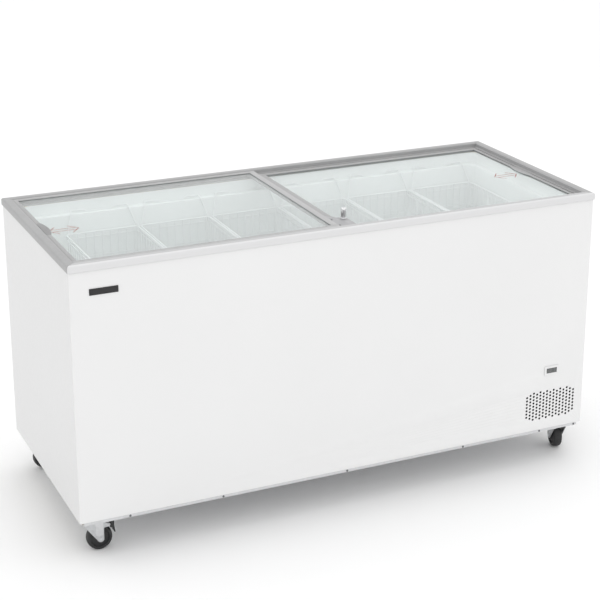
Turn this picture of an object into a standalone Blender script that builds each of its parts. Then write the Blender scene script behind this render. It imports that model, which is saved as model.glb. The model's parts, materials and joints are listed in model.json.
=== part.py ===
"""Chest freezer with two sliding glass lids, six hanging wire baskets and four castors.

Units are metres, +Z is up.  The origin is on the floor under the middle of the cabinet: +X runs along
the front to the machine compartment, -Y faces the shopper.
"""
import math

import bmesh
import bpy
from mathutils import Matrix, Vector

# ---- driving dimensions ---------------------------------------------------------------------------
BODY_LENGTH = 1.497
BODY_DEPTH = 0.622
BODY_HEIGHT = 0.669          # lower edge of the panels to the lower edge of the top frame
GAP = 0.0003                 # play between pieces that touch
SHEET = 0.0010               # steel sheet of the panels

# castors
WHEEL_RADIUS = 0.0340
WHEEL_WIDTH = 0.025
WHEEL_SEGMENTS = 24
CASTOR_TRAIL = 0.031
CASTOR_INSET_X = 0.033
CASTOR_INSET_Y = 0.055
CASTOR_PLATE = (0.076, 0.096, 0.003)
PLATE_SHIFT = 0.014          # the plate's middle lies this much nearer the cabinet's middle than the swivel
PLATE_RADIUS = 0.008
SWIVEL_RADIUS = 0.0205
SWIVEL_DEPTH = 0.0075        # swivel head between the plate and the fork
CROWN_SHEET = 0.003
CROWN_PLAY = 0.0179          # top of the wheel to the fork's crown
FORK_SHEET = 0.0025
FORK_GAP = 0.0160            # half the space between the fork's cheeks
AXLE_RADIUS = 0.0050
SIDE_PLAY = 0.0008           # wheel hub and pedal to the cheeks
CASTOR_TURNS = {"front_left": 0.0, "front_right": 76.0, "rear_left": 5.0, "rear_right": 180.0}
PEDALS = ("front_left", "front_right")
PEDAL_REACH = 0.0205         # axle to the pedal's pivot
PEDAL_DROP = 0.0182          # top of the crown to the pedal's pivot
PEDAL_BARREL = 0.0040
PEDAL_WHEEL_PLAY = 0.0022    # foot of the pedal to the wheel's outermost point
PEDAL_HEAD = 0.0125          # half height of the pedal's head above its pivot
ARM_HALF = 0.0055            # half width of the cheek's arm and its eye round the pedal's pivot
CHEEK_EYE = 0.0088           # cheek's end round the axle
CHEEK_LIP = 0.0045
CROWN_BACK = 0.0155
FUSE = 0.0005                # overlap of bodies that are joined into one

# base tray
TRAY_LIP = 0.008
TRAY_SHEET = 0.0012
TRAY_INSET = 0.012           # tray ends short of the side panels

# top frame, the same section on all four sides; depth is measured inward from its outer face
FRAME_OVERHANG_X = 0.003
FRAME_OVERHANG_Y = 0.004
FRAME_FACE = 0.0195
FRAME_WALL = 0.0025
FRAME_SKIRT = 0.0026         # outer skirt that covers the panels' upper edges
FRAME_RADIUS = 0.006
FRAME_LAND = 0.0195          # width of the top land
LIP_DROP = 0.0012
UPPER_WALL = 0.0245          # depth of the wall beside the upper lid
LOWER_WALL = 0.0325
FOOT_LIP = 0.0050            # foot of the frame past the liner's upper wall
FRAME_SHELF = 0.0029         # lower ledge to the underside of the foot

# sliding lids
LID_PLAY_Y = 0.001
LID_PLAY_X = 0.001
LOWER_LID_PLAY_X = 0.002
LID_THICKNESS = 0.0085
LID_RECESS = 0.0021          # top of the upper lid's bars below the frame's land
LID_STACK_GAP = 0.0015       # between the two lids' levels
LID_LIFT = 0.0003            # lids ride just above their ledges
MEETING_X = -0.016           # right-hand edge of the upper lid
LID_OVERLAP = 0.0165
RUNNER_WIDTH = 0.016
END_BAR_WIDTH = 0.0115
UPPER_MEETING_WIDTH = 0.0185
LOWER_MEETING_WIDTH = 0.045
GLASS = 0.0040
GLASS_BITE = 0.007           # how far the glass sits in its bars
GRIP_LENGTH = 0.106
GRIP_REACH = 0.009
GRIP_SHEET = 0.0018
GRIP_BACK = 0.0015           # the lower grip closes the gap to the frame
GRIP_WAIST = 0.7             # share of the grip's length that its back covers

# lock on the upper lid
LOCK_PLATE = (0.054, 0.105)  # reach over the lower lid, length along the lid's edge
LOCK_PLATE_SHEET = 0.002
LOCK_PLATE_WAIST = 0.55      # share of the length along its outer edge
LOCK_PLATE_FRONT = 0.038     # frame's face to the plate's front end
LOCK_SETBACK = 0.097         # frame's face to the barrel's axis
LOCK_REACH = 0.0435          # lid's edge to the barrel's axis
LOCK_RADIUS = 0.0075
LOCK_HEIGHT = 0.029
LOCK_COLLAR = 0.0008
LOCK_SIDES = 16
PLUG_RADIUS = 0.0045
PLUG_HEIGHT = 0.008
KEYWAY = (0.0012, 0.006, 0.005)

# inner liner
LINER = 0.0012
LINER_UPPER = 0.036          # cabinet face to liner above the basket ledge
LINER_LOWER = 0.050
LEDGE_BELOW_TOP = 0.0586
LINER_FLOOR = 0.060          # above the lower edge of the panels
LINER_RADIUS = 0.030
STEP_WALL = 0.062            # liner's step to the machine compartment
STEP_ROOF = 0.056            # machine compartment to the floor of the liner's step
DRAIN_INSET = (0.1485, 0.131)  # cabinet's left and front faces to the drain
DRAIN_RADIUS = 0.014

# wire baskets
BASKET_COUNT = 6
BASKET_LEFT_GAP = 0.1016     # left liner wall to the first basket
BASKET_RIGHT_GAP = 0.0144    # last basket to the right liner wall
BASKET_PLAY = 0.003
BASKET_END_PLAY = 0.0155     # basket end to the liner wall
BASKET_RIM_BELOW_LEDGE = 0.049
BASKET_FLOOR_GAP = 0.0859    # floor of the liner's step to the basket
BASKET_TAPER = 0.006
BASKET_WALL = 0.003
BASKET_BAR = 0.006           # bars between the openings in the walls
BASKET_BAND = 0.015          # closed band above and below the openings
WIRE = 0.004
LOOP_INSET = 0.005           # basket's side to a hanger loop's foot
LOOP_SLOPE = 0.0195          # foot to shoulder
LOOP_DIP = 0.034
LOOP_DIP_SLOPE = 0.012
LOOP_DROP = 0.0065
LOOP_WALL_GAP = 0.0015
LOOP_FOOT_DEPTH = 0.012

# machine compartment at the right-hand end
COMPARTMENT_LENGTH = 0.285
COMPARTMENT_HEIGHT = 0.224
OPENING_INSET = (0.0365, 0.0285, 0.022, 0.032)  # service opening: from left, right, bottom and top
COVER_LAP = 0.012
LOUVRES = 7
LOUVRE = (0.005, 0.014)      # height, pitch
LOUVRE_INSET = (0.020, 0.055, 0.018)
SPINDLE_INSET = (0.040, 0.038)
SPINDLE_HOLE = 0.0080
SPINDLE_SLEEVE = (0.0115, 0.020)
KNOB_RADIUS = 0.0070
KNOB_DEPTH = 0.012
KNOB_SLOT = 0.0020
GLAND_INSET = (0.030, 0.020)
GLAND_RADIUS = 0.008
GLAND_BORE = 0.0038
GLAND_FLANGE = 0.0035
GLAND_DEPTH = 0.012
GLAND_PROUD = 0.0022
COIL_CLEARANCE = 0.0130      # space in the foam for the evaporator tube
COIL_RADIUS = 0.0035
COIL_STANDOFF = 0.0025
COIL_TURNS = 4
COIL_INSET = 0.040           # first and last turn to the step and the ledge
CONDENSER_INSET = (0.0965, 0.0265)   # from the compartment's left wall and the cabinet's right face
CONDENSER_SETBACK = 0.011
CONDENSER_DEPTH = 0.036
CONDENSER_LIFT = 0.0168
CONDENSER_TOP = 0.080        # below the compartment's roof
CONDENSER_FINS = 14
FIN_DEPTH = 0.010
FIN_MARGIN = 0.006
FAN_RADIUS = 0.052
FAN_BLADES = 5
FAN_TILT = 28.0
FAN_HUB = (0.014, 0.016)
DUCT_PLAY = 0.004
SHROUD_GAP = 0.003
SHROUD_DEPTH = 0.021
SHROUD_FACE = 0.002
MOTOR_RADIUS = 0.027
MOTOR_HALF = 0.014
MOTOR_SETBACK = 0.022
MOTOR_ARM = (0.003, 0.007)   # thickness, half height
COMPRESSOR_RADIUS = 0.074
COMPRESSOR_INSET = 0.1415    # compartment's left wall to the compressor's axis
COMPRESSOR_Y = 0.030
COMPRESSOR_SIDES = 20
COMPRESSOR_FOOT = (0.090, 0.055, 0.010, 0.004)   # half length, half depth, height, sheet
RELAY = (0.034, 0.030, 0.054, 0.092)             # reach from the shell, half width, bottom, top
PAD = (0.011, 0.074, 0.041)                      # radius, offset in X and in Y
PIPE_RADIUS = 0.0030

# front details
VENT_INSET = (0.1067, 0.075)         # middle of the vent: from the cabinet's right face and lower edge
VENT_HOLE = 0.0030
VENT_SIDES = 4
VENT_PITCH = (0.0110, 0.0101)
VENT_COLUMNS = 15
THERMOMETER_INSET = (0.108, 0.1785)
THERMOMETER_BEZEL = (0.046, 0.027, 0.003)
THERMOMETER_WINDOW = (0.034, 0.015)
THERMOMETER_CUT = (0.040, 0.021)
THERMOMETER_DEPTH = 0.014
WINDOW_DEPTH = 0.010
BADGE_INSET = (0.087, 0.074)         # from the cabinet's left face and the frame's top
BADGE_SIZE = (0.074, 0.017, 0.0012)

# ---- sizes that follow ----------------------------------------------------------------------------
HALF_L = BODY_LENGTH / 2
HALF_D = BODY_DEPTH / 2
CROWN_TOP = 2 * WHEEL_RADIUS + CROWN_PLAY + CROWN_SHEET
PLATE_Z = CROWN_TOP + SWIVEL_DEPTH + GAP
TRAY_Z = PLATE_Z + CASTOR_PLATE[2] + GAP
BODY_Z = TRAY_Z + TRAY_LIP
TRAY_FLOOR = TRAY_Z + TRAY_SHEET
TOP_Z = BODY_Z + BODY_HEIGHT + FRAME_FACE
UPPER_LEDGE = LID_THICKNESS + LID_RECESS
LOWER_LEDGE = UPPER_LEDGE + LID_THICKNESS + LID_STACK_GAP
FRAME_FOOT = LOWER_LEDGE + FRAME_SHELF
FRAME_INNER = LINER_UPPER + FOOT_LIP
FRAME_X = HALF_L + FRAME_OVERHANG_X
FRAME_Y = HALF_D + FRAME_OVERHANG_Y
PANEL_TOP = TOP_Z - LIP_DROP - FRAME_WALL - GAP
UPPER_UNDERSIDE = TOP_Z - UPPER_LEDGE + LID_LIFT
LOWER_UNDERSIDE = TOP_Z - LOWER_LEDGE + LID_LIFT
LOCK_AT = (MEETING_X + LOCK_REACH, -FRAME_Y + LOCK_SETBACK)
LEDGE_Z = TOP_Z - LEDGE_BELOW_TOP
LINER_TOP = TOP_Z - FRAME_FOOT - 2 * GAP
FLOOR_Z = BODY_Z + LINER_FLOOR
COMPARTMENT_X = HALF_L - COMPARTMENT_LENGTH
COMPARTMENT_Z = BODY_Z + COMPARTMENT_HEIGHT
STEP_X = COMPARTMENT_X - STEP_WALL
STEP_Z = COMPARTMENT_Z + STEP_ROOF
DRAIN_AT = (-HALF_L + DRAIN_INSET[0], -HALF_D + DRAIN_INSET[1])
BASKET_ROW = BODY_LENGTH - 2 * LINER_LOWER - BASKET_LEFT_GAP - BASKET_RIGHT_GAP + BASKET_PLAY
BASKET_PITCH = BASKET_ROW / BASKET_COUNT
BASKET_HALF_X = (BASKET_PITCH - BASKET_PLAY) / 2
BASKET_HALF_Y = HALF_D - LINER_LOWER - BASKET_END_PLAY
RIM_Z = LEDGE_Z - BASKET_RIM_BELOW_LEDGE
BASKET_DEPTH = RIM_Z - STEP_Z - BASKET_FLOOR_GAP
OPENING_X = (COMPARTMENT_X + OPENING_INSET[0], HALF_L - OPENING_INSET[1])
OPENING_Z = (BODY_Z + OPENING_INSET[2], COMPARTMENT_Z - OPENING_INSET[3])
SPINDLE_AT = (OPENING_X[0] + SPINDLE_INSET[0], OPENING_Z[1] - SPINDLE_INSET[1])
GLAND_AT = (OPENING_X[1] - GLAND_INSET[0], OPENING_Z[0] + GLAND_INSET[1])
CONDENSER_X = (COMPARTMENT_X + CONDENSER_INSET[0], HALF_L - CONDENSER_INSET[1])
CONDENSER_Y = (-HALF_D + CONDENSER_SETBACK, -HALF_D + CONDENSER_SETBACK + CONDENSER_DEPTH)
CONDENSER_Z = (TRAY_FLOOR + CONDENSER_LIFT, COMPARTMENT_Z - CONDENSER_TOP)
SHROUD_Y = (CONDENSER_Y[1] + SHROUD_GAP, CONDENSER_Y[1] + SHROUD_GAP + SHROUD_DEPTH)
FAN_AT = (sum(CONDENSER_X) / 2, sum(CONDENSER_Z) / 2)
COMPRESSOR_X = COMPARTMENT_X + COMPRESSOR_INSET

PARTS = "chest_freezer"
CUTTERS = "cutters"


# ---- helpers --------------------------------------------------------------------------------------
def clear_scene():
    for item in list(bpy.data.objects):
        bpy.data.objects.remove(item, do_unlink=True)


def collection(name):
    found = bpy.data.collections.get(name)
    if found is None:
        found = bpy.data.collections.new(name)
        bpy.context.scene.collection.children.link(found)
    return found


def material(name, colour, roughness, metallic=0.0):
    found = bpy.data.materials.new(name)
    found.use_nodes = True
    shader = found.node_tree.nodes["Principled BSDF"]
    shader.inputs["Base Color"].default_value = (*colour, 1.0)
    shader.inputs["Roughness"].default_value = roughness
    shader.inputs["Metallic"].default_value = metallic
    found.diffuse_color = (*colour, 1.0)
    return found


def add_object(name, mesh, look=None, at=(0, 0, 0), turn=(0, 0, 0), cutter=False):
    """Link a mesh as a part with its own material, or as a hidden cutter."""
    item = bpy.data.objects.new(name, mesh)
    item.location = at
    item.rotation_euler = turn
    collection(CUTTERS if cutter else PARTS).objects.link(item)
    if cutter:
        item.hide_render = True
        item.display_type = "WIRE"
    elif look and not mesh.materials:
        mesh.materials.append(material(name, *look))
    return item


def to_mesh(name, bm):
    bmesh.ops.recalc_face_normals(bm, faces=bm.faces[:])
    mesh = bpy.data.meshes.new(name)
    bm.to_mesh(mesh)
    bm.free()
    return mesh


def add_box(bm, low, high):
    """Add a box between two corners to a bmesh and return its vertices."""
    low, high = Vector(low), Vector(high)
    made = bmesh.ops.create_cube(bm, size=1.0)["verts"]
    size = high - low
    middle = (low + high) / 2
    for vert in made:
        vert.co = Vector((vert.co.x * size.x, vert.co.y * size.y, vert.co.z * size.z)) + middle
    return made


def box(name, low, high, look=None, cutter=False):
    """A box part whose origin is its own middle."""
    middle = (Vector(low) + Vector(high)) / 2
    bm = bmesh.new()
    add_box(bm, Vector(low) - middle, Vector(high) - middle)
    return add_object(name, to_mesh(name, bm), look, middle, cutter=cutter)


def boxes(name, pairs, look=None, cutter=False):
    """Several separate boxes in one mesh."""
    bm = bmesh.new()
    for low, high in pairs:
        add_box(bm, low, high)
    return add_object(name, to_mesh(name, bm), look, cutter=cutter)


def prism(name, outline, thickness, look=None, at=(0, 0, 0), turn=(0, 0, 0), cutter=False):
    """A flat outline in local XY, extruded along local +Z."""
    bm = bmesh.new()
    face = bm.faces.new([bm.verts.new((x, y, 0.0)) for x, y in outline])
    made = bmesh.ops.extrude_face_region(bm, geom=[face])["geom"]
    moved = [part for part in made if isinstance(part, bmesh.types.BMVert)]
    bmesh.ops.translate(bm, verts=moved, vec=(0.0, 0.0, thickness))
    return add_object(name, to_mesh(name, bm), look, at, turn, cutter)


def cylinder(name, radius, length, look=None, at=(0, 0, 0), turn=(0, 0, 0), sides=24, cutter=False):
    bm = bmesh.new()
    bmesh.ops.create_cone(bm, cap_ends=True, segments=sides, radius1=radius, radius2=radius, depth=length)
    item = add_object(name, to_mesh(name, bm), look, at, turn, cutter)
    smooth(item)
    return item


def turned(name, profile, look, at=(0, 0, 0), turn=(0, 0, 0), sides=24, closed=False):
    """A turned shape: (radius, height) points spun about local Z, listed from top to bottom."""
    bm = bmesh.new()
    verts = [bm.verts.new((radius, 0.0, height)) for radius, height in profile]
    for start, end in zip(verts, verts[1:]):
        bm.edges.new((start, end))
    if closed:
        bm.edges.new((verts[-1], verts[0]))
    mesh = bpy.data.meshes.new(name)
    bm.to_mesh(mesh)
    bm.free()
    item = add_object(name, mesh, look, at, turn)
    screw = item.modifiers.new("Turn", "SCREW")
    screw.steps = sides
    screw.render_steps = sides
    screw.use_merge_vertices = True
    screw.merge_threshold = 0.00001
    screw.use_smooth_shade = True
    return item


def tube(name, points, radius, look=None, radii=None, resolution=0):
    """A round bar along points; radii scales single points."""
    curve = bpy.data.curves.new(name, "CURVE")
    curve.dimensions = "3D"
    curve.bevel_depth = radius
    curve.bevel_resolution = resolution
    curve.use_fill_caps = True
    spline = curve.splines.new("POLY")
    spline.points.add(len(points) - 1)
    for index, point in enumerate(points):
        spline.points[index].co = (*point, 1.0)
        spline.points[index].radius = radii[index] if radii else 1.0
    item = bpy.data.objects.new(name, curve)
    collection(PARTS).objects.link(item)
    if look:
        curve.materials.append(material(name, *look))
    return item


def curve_to_mesh(item):
    """Replace a curve object by a welded mesh object of the same name."""
    bpy.context.view_layer.update()
    ready = item.evaluated_get(bpy.context.evaluated_depsgraph_get())
    mesh = bpy.data.meshes.new_from_object(ready)
    bm = bmesh.new()
    bm.from_mesh(mesh)
    bmesh.ops.remove_doubles(bm, verts=bm.verts[:], dist=0.00001)
    bm.to_mesh(mesh)
    bm.free()
    name, place = item.name, item.matrix_world.copy()
    bpy.data.objects.remove(item, do_unlink=True)
    made = add_object(name, mesh)
    made.matrix_world = place
    return made


def apply_modifiers(item):
    """Make the evaluated shape the object's own mesh, so that copies can share it."""
    bpy.context.view_layer.update()
    ready = item.evaluated_get(bpy.context.evaluated_depsgraph_get())
    mesh = bpy.data.meshes.new_from_object(ready)
    mesh.name = item.name
    item.modifiers.clear()
    item.data = mesh


def boolean(item, other, operation):
    step = item.modifiers.new(operation.title(), "BOOLEAN")
    step.operation = operation
    step.solver = "EXACT"
    step.object = other


def cut(item, other):
    boolean(item, other, "DIFFERENCE")


def join(item, others):
    """Union other bodies into an object, apply it and remove them."""
    for other in others:
        boolean(item, other, "UNION")
    apply_modifiers(item)
    for other in others:
        bpy.data.objects.remove(other, do_unlink=True)


def smooth(item, angle=35.0):
    item.data.shade_smooth()
    item.data.set_sharp_from_angle(angle=math.radians(angle))


def joint_empty(name, at, turn=(0, 0, 0)):
    empty = bpy.data.objects.new(name, None)
    empty.location = at
    empty.rotation_euler = turn
    empty.empty_display_size = 0.05
    collection(PARTS).objects.link(empty)
    return empty


def hang_on(parent, items):
    """Parent objects to an empty and leave them where they are."""
    bpy.context.view_layer.update()
    for item in items:
        item.parent = parent
        item.matrix_parent_inverse = parent.matrix_world.inverted()


def arc(centre_x, centre_y, radius, start, end, steps):
    """Points on an arc, angles in degrees."""
    angles = [math.radians(start + (end - start) * step / steps) for step in range(steps + 1)]
    return [(centre_x + radius * math.cos(a), centre_y + radius * math.sin(a)) for a in angles]


def rounded_rectangle(half_x, half_y, radius, steps=3):
    points = []
    for quarter, (sx, sy) in enumerate([(1, 1), (-1, 1), (-1, -1), (1, -1)]):
        centre = (sx * (half_x - radius), sy * (half_y - radius))
        points += arc(*centre, radius, 90 * quarter, 90 * quarter + 90, steps)
    return points


# ---- looks: colour, roughness, metallic ----------------------------------------------------------
WHITE_PAINT = ((0.86, 0.86, 0.86), 0.35)
SIDE_PAINT = ((0.80, 0.80, 0.80), 0.40)
LINER_WHITE = ((0.88, 0.90, 0.90), 0.30)
FOAM = ((0.85, 0.75, 0.45), 0.90)
ALUMINIUM = ((0.60, 0.60, 0.61), 0.38, 0.9)
GREY_PLASTIC = ((0.32, 0.32, 0.32), 0.45)
GALVANISED = ((0.55, 0.56, 0.57), 0.40, 0.9)
BLACK_RUBBER = ((0.02, 0.02, 0.02), 0.55)
BLACK_PLASTIC = ((0.02, 0.02, 0.02), 0.35)
CHROME = ((0.75, 0.75, 0.76), 0.12, 1.0)
CLEAR_GLASS = ((0.80, 0.88, 0.87), 0.05)
COPPER = ((0.72, 0.36, 0.22), 0.30, 1.0)
BASKET_WHITE = ((0.85, 0.86, 0.86), 0.35)


# ---- cabinet --------------------------------------------------------------------------------------
def vent_cutter():
    """Staggered punched holes; the outer columns lose their corner holes."""
    bm = bmesh.new()
    at_x, at_z = HALF_L - VENT_INSET[0], BODY_Z + VENT_INSET[1]
    middle = (VENT_COLUMNS - 1) / 2
    for column in range(VENT_COLUMNS):
        count = 9 if column % 2 == 0 else 8
        if column in (0, VENT_COLUMNS - 1):
            count = 7
        for row in range(count):
            x = at_x + (column - middle) * VENT_PITCH[0]
            z = at_z + (row - (count - 1) / 2) * VENT_PITCH[1]
            place = Matrix.Translation((x, -HALF_D, z)) @ Matrix.Rotation(math.radians(90), 4, "X")
            bmesh.ops.create_cone(bm, cap_ends=True, segments=VENT_SIDES, radius1=VENT_HOLE, radius2=VENT_HOLE,
                                  depth=8 * SHEET, matrix=place)
    return add_object("vent_cutter", to_mesh("vent_cutter", bm), cutter=True)


def front_panel():
    panel = box("front_panel", (-HALF_L, -HALF_D, BODY_Z), (HALF_L, -HALF_D + SHEET, PANEL_TOP), WHITE_PAINT)
    cut(panel, vent_cutter())
    half_x, half_z = THERMOMETER_CUT[0] / 2, THERMOMETER_CUT[1] / 2
    x, z = HALF_L - THERMOMETER_INSET[0], BODY_Z + THERMOMETER_INSET[1]
    cut(panel, box("thermometer_cutter", (x - half_x, -HALF_D - 0.01, z - half_z),
                   (x + half_x, -HALF_D + 0.01, z + half_z), cutter=True))


def side_panels():
    inner = HALF_D - SHEET - GAP
    for name, side in (("left_panel", -1), ("right_panel", 1)):
        faces = sorted((side * HALF_L, side * (HALF_L - SHEET)))
        box(name, (faces[0], -inner, BODY_Z), (faces[1], inner, PANEL_TOP), SIDE_PAINT)


def rear_panel():
    panel = box("rear_panel", (-HALF_L, HALF_D - SHEET, BODY_Z), (HALF_L, HALF_D, PANEL_TOP), SIDE_PAINT)
    cut(panel, box("service_cutter", (OPENING_X[0], HALF_D - 0.01, OPENING_Z[0]),
                   (OPENING_X[1], HALF_D + 0.01, OPENING_Z[1]), cutter=True))


def rear_cover():
    """Louvred service cover outside the rear panel, with a sleeve for the thermostat knob and a hole for
    the cord gland."""
    face = HALF_D + GAP
    cover = box("rear_cover", (OPENING_X[0] - COVER_LAP, face, OPENING_Z[0] - COVER_LAP),
                (OPENING_X[1] + COVER_LAP, face + SHEET, OPENING_Z[1] + COVER_LAP), SIDE_PAINT)
    radius, length = SPINDLE_SLEEVE
    sleeve = cylinder("sleeve", radius, length, at=(SPINDLE_AT[0], face + 0.0005 - length / 2, SPINDLE_AT[1]),
                      turn=(math.pi / 2, 0, 0), sides=12)
    join(cover, [sleeve])
    slots = []
    for row in range(LOUVRES):
        z = OPENING_Z[0] + LOUVRE_INSET[2] + row * LOUVRE[1]
        slots.append(((OPENING_X[0] + LOUVRE_INSET[0], face - 0.005, z),
                      (OPENING_X[1] - LOUVRE_INSET[1], face + 0.005, z + LOUVRE[0])))
    cut(cover, boxes("louvre_cutter", slots, cutter=True))
    for name, at, hole in (("spindle_cutter", SPINDLE_AT, SPINDLE_HOLE),
                           ("gland_cutter", GLAND_AT, GLAND_RADIUS + GAP)):
        cut(cover, cylinder(name, hole, 3 * length, at=(at[0], face, at[1]), turn=(math.pi / 2, 0, 0), sides=12,
                            cutter=True))


def thermostat_knob():
    """Slotted knob in the cover's sleeve, turned with a coin."""
    radius = KNOB_RADIUS
    knob = turned("thermostat_knob", [(0, 0.0), (radius - 0.0005, 0.0), (radius, -0.0008),
                                      (radius, -KNOB_DEPTH), (0, -KNOB_DEPTH)],
                  BLACK_PLASTIC, (SPINDLE_AT[0], HALF_D, SPINDLE_AT[1]), (-math.pi / 2, 0, 0), 12)
    apply_modifiers(knob)
    x, z = SPINDLE_AT
    half = KNOB_SLOT / 2
    cut(knob, box("knob_slot_cutter", (x - half, HALF_D - KNOB_SLOT, z - 0.01),
                  (x + half, HALF_D + KNOB_SLOT, z + 0.01), cutter=True))


def cord_gland():
    """Strain relief bush where the mains lead leaves the cover."""
    face = HALF_D + GAP + SHEET
    radius, flange = GLAND_RADIUS, GLAND_RADIUS + GLAND_FLANGE
    profile = [(GLAND_BORE, GLAND_PROUD), (flange - 0.001, GLAND_PROUD), (flange, GLAND_PROUD - 0.001),
               (flange, GAP), (radius, GAP), (radius, -GLAND_DEPTH), (GLAND_BORE, -GLAND_DEPTH)]
    turned("cord_gland", profile, BLACK_PLASTIC, (GLAND_AT[0], face, GLAND_AT[1]), (-math.pi / 2, 0, 0),
           12, True)


def base_tray():
    """Shallow tray with its lips turned up; the cabinet stands on the lips."""
    half_x = HALF_L - TRAY_INSET
    half_y = HALF_D - GAP
    top = BODY_Z - GAP
    tray = box("base_tray", (-half_x, -half_y, TRAY_Z), (half_x, half_y, top), GALVANISED)
    lip = TRAY_SHEET
    cut(tray, box("tray_cutter", (-half_x + lip, -half_y + lip, TRAY_FLOOR),
                  (half_x - lip, half_y - lip, top + 0.01), cutter=True))


def liner_body(name, offset, top, cutter, look=None):
    """Stepped cavity of the liner, grown outward by offset: upper zone, lower zone and machine step."""
    def zone(part, wall, low_z, high_z):
        outline = rounded_rectangle(HALF_L - wall + offset, HALF_D - wall + offset, LINER_RADIUS + offset)
        return prism(part, outline, high_z - low_z, at=(0, 0, low_z), cutter=True)

    upper = zone(name + "_upper", LINER_UPPER, LEDGE_Z - offset, top)
    body = zone(name, LINER_LOWER, FLOOR_Z - offset, LEDGE_Z + 0.001)
    step = box(name + "_step", (STEP_X + offset, -HALF_D, 0.0), (HALF_L, HALF_D, STEP_Z - offset), cutter=True)
    cut(body, step)
    apply_modifiers(body)
    bpy.data.objects.remove(step, do_unlink=True)
    join(body, [upper])
    if not cutter:
        collection(CUTTERS).objects.unlink(body)
        collection(PARTS).objects.link(body)
        body.hide_render = False
        body.display_type = "TEXTURED"
        body.data.materials.append(material(name, *look))
    return body


def inner_liner():
    liner = liner_body("inner_liner", LINER, LINER_TOP, False, LINER_WHITE)
    cut(liner, liner_body("liner_cavity", 0.0, LINER_TOP + 0.01, True))
    cut(liner, cylinder("drain_cutter", DRAIN_RADIUS, 0.02, at=(*DRAIN_AT, FLOOR_Z), sides=12, cutter=True))


def drain_plug():
    """Stopper in the liner's drain hole, pulled up by its knob."""
    stem = DRAIN_RADIUS - 0.0014
    flange = DRAIN_RADIUS + 0.005
    turned("drain_plug", [(0, 0.011), (0.0045, 0.010), (0.0045, 0.0035), (flange, 0.0022), (flange, GAP),
                          (stem, GAP), (stem - 0.002, -0.008), (0, -0.008)],
           BLACK_RUBBER, (*DRAIN_AT, FLOOR_Z), sides=12)


def insulation_foam():
    """Foam between the panels and the liner, with room for the evaporator tube and the machine compartment."""
    half_x = HALF_L - SHEET - GAP
    half_y = HALF_D - SHEET - GAP
    foam = box("insulation_foam", (-half_x, -half_y, BODY_Z + GAP), (half_x, half_y, LINER_TOP + GAP), FOAM)
    cut(foam, liner_body("foam_cavity", LINER + GAP, TOP_Z, True))
    grown = LINER + COIL_CLEARANCE
    outline = rounded_rectangle(HALF_L - LINER_LOWER + grown, HALF_D - LINER_LOWER + grown,
                                LINER_RADIUS + grown)
    low, high = STEP_Z + COIL_INSET / 2, LEDGE_Z - COIL_INSET / 2
    cut(foam, prism("coil_cutter", outline, high - low, at=(0, 0, low), cutter=True))
    cut(foam, box("compartment_cutter", (COMPARTMENT_X - GAP, -HALF_D, 0),
                  (HALF_L, HALF_D, COMPARTMENT_Z + GAP), cutter=True))
    cut(foam, cylinder("drain_way_cutter", DRAIN_RADIUS + 0.002, 2 * LINER_FLOOR,
                       at=(*DRAIN_AT, FLOOR_Z - LINER_FLOOR), sides=12, cutter=True))


def machine_bulkhead():
    """Bent sheet that lines the machine compartment under the foam."""
    inner_y = HALF_D - SHEET - 0.003
    inner_x = HALF_L - SHEET - 2 * GAP
    bulkhead = box("machine_bulkhead", (COMPARTMENT_X, -inner_y, TRAY_FLOOR + GAP),
                   (inner_x, inner_y, COMPARTMENT_Z), GALVANISED)
    cut(bulkhead, box("bulkhead_cutter", (COMPARTMENT_X + SHEET, -HALF_D, 0),
                      (HALF_L, HALF_D, COMPARTMENT_Z - SHEET), cutter=True))


def frame_section():
    """Outline of the top frame as (depth, drop) points."""
    wall = FRAME_WALL
    outer = [(0.0, -FRAME_FACE)]
    outer += arc(FRAME_RADIUS, -FRAME_RADIUS, FRAME_RADIUS, 180, 90, 3)
    steps = [(FRAME_LAND, 0.0), (FRAME_LAND + LIP_DROP, -LIP_DROP), (UPPER_WALL, -LIP_DROP),
             (UPPER_WALL, -UPPER_LEDGE), (LOWER_WALL, -UPPER_LEDGE), (LOWER_WALL, -LOWER_LEDGE),
             (FRAME_INNER, -LOWER_LEDGE), (FRAME_INNER, -FRAME_FOOT)]
    inside = [(LOWER_WALL - wall, -FRAME_FOOT), (LOWER_WALL - wall, -UPPER_LEDGE - wall),
              (UPPER_WALL - wall, -UPPER_LEDGE - wall), (UPPER_WALL - wall, -LIP_DROP - wall),
              (FRAME_SKIRT, -LIP_DROP - wall), (FRAME_SKIRT, -FRAME_FACE)]
    return outer + steps + inside


def top_rail(name, length, at, turn, look):
    """One side of the top frame with both ends mitred."""
    bm = bmesh.new()
    half = length / 2 - GAP
    face = bm.faces.new([bm.verts.new((-half, depth, drop)) for depth, drop in frame_section()])
    made = bmesh.ops.extrude_face_region(bm, geom=[face])["geom"]
    moved = [part for part in made if isinstance(part, bmesh.types.BMVert)]
    bmesh.ops.translate(bm, verts=moved, vec=(2 * half, 0, 0))
    for vert in bm.verts:
        vert.co.x -= math.copysign(vert.co.y, vert.co.x)
    rail = add_object(name, to_mesh(name, bm), look, at, (0, 0, math.radians(turn)))
    smooth(rail)


def top_frame():
    top_rail("top_rail_front", 2 * FRAME_X, (0, -FRAME_Y, TOP_Z), 0, ALUMINIUM)
    top_rail("top_rail_back", 2 * FRAME_X, (0, FRAME_Y, TOP_Z), 180, GREY_PLASTIC)
    top_rail("top_rail_left", 2 * FRAME_Y, (-FRAME_X, 0, TOP_Z), -90, GREY_PLASTIC)
    top_rail("top_rail_right", 2 * FRAME_Y, (FRAME_X, 0, TOP_Z), 90, GREY_PLASTIC)


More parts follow.
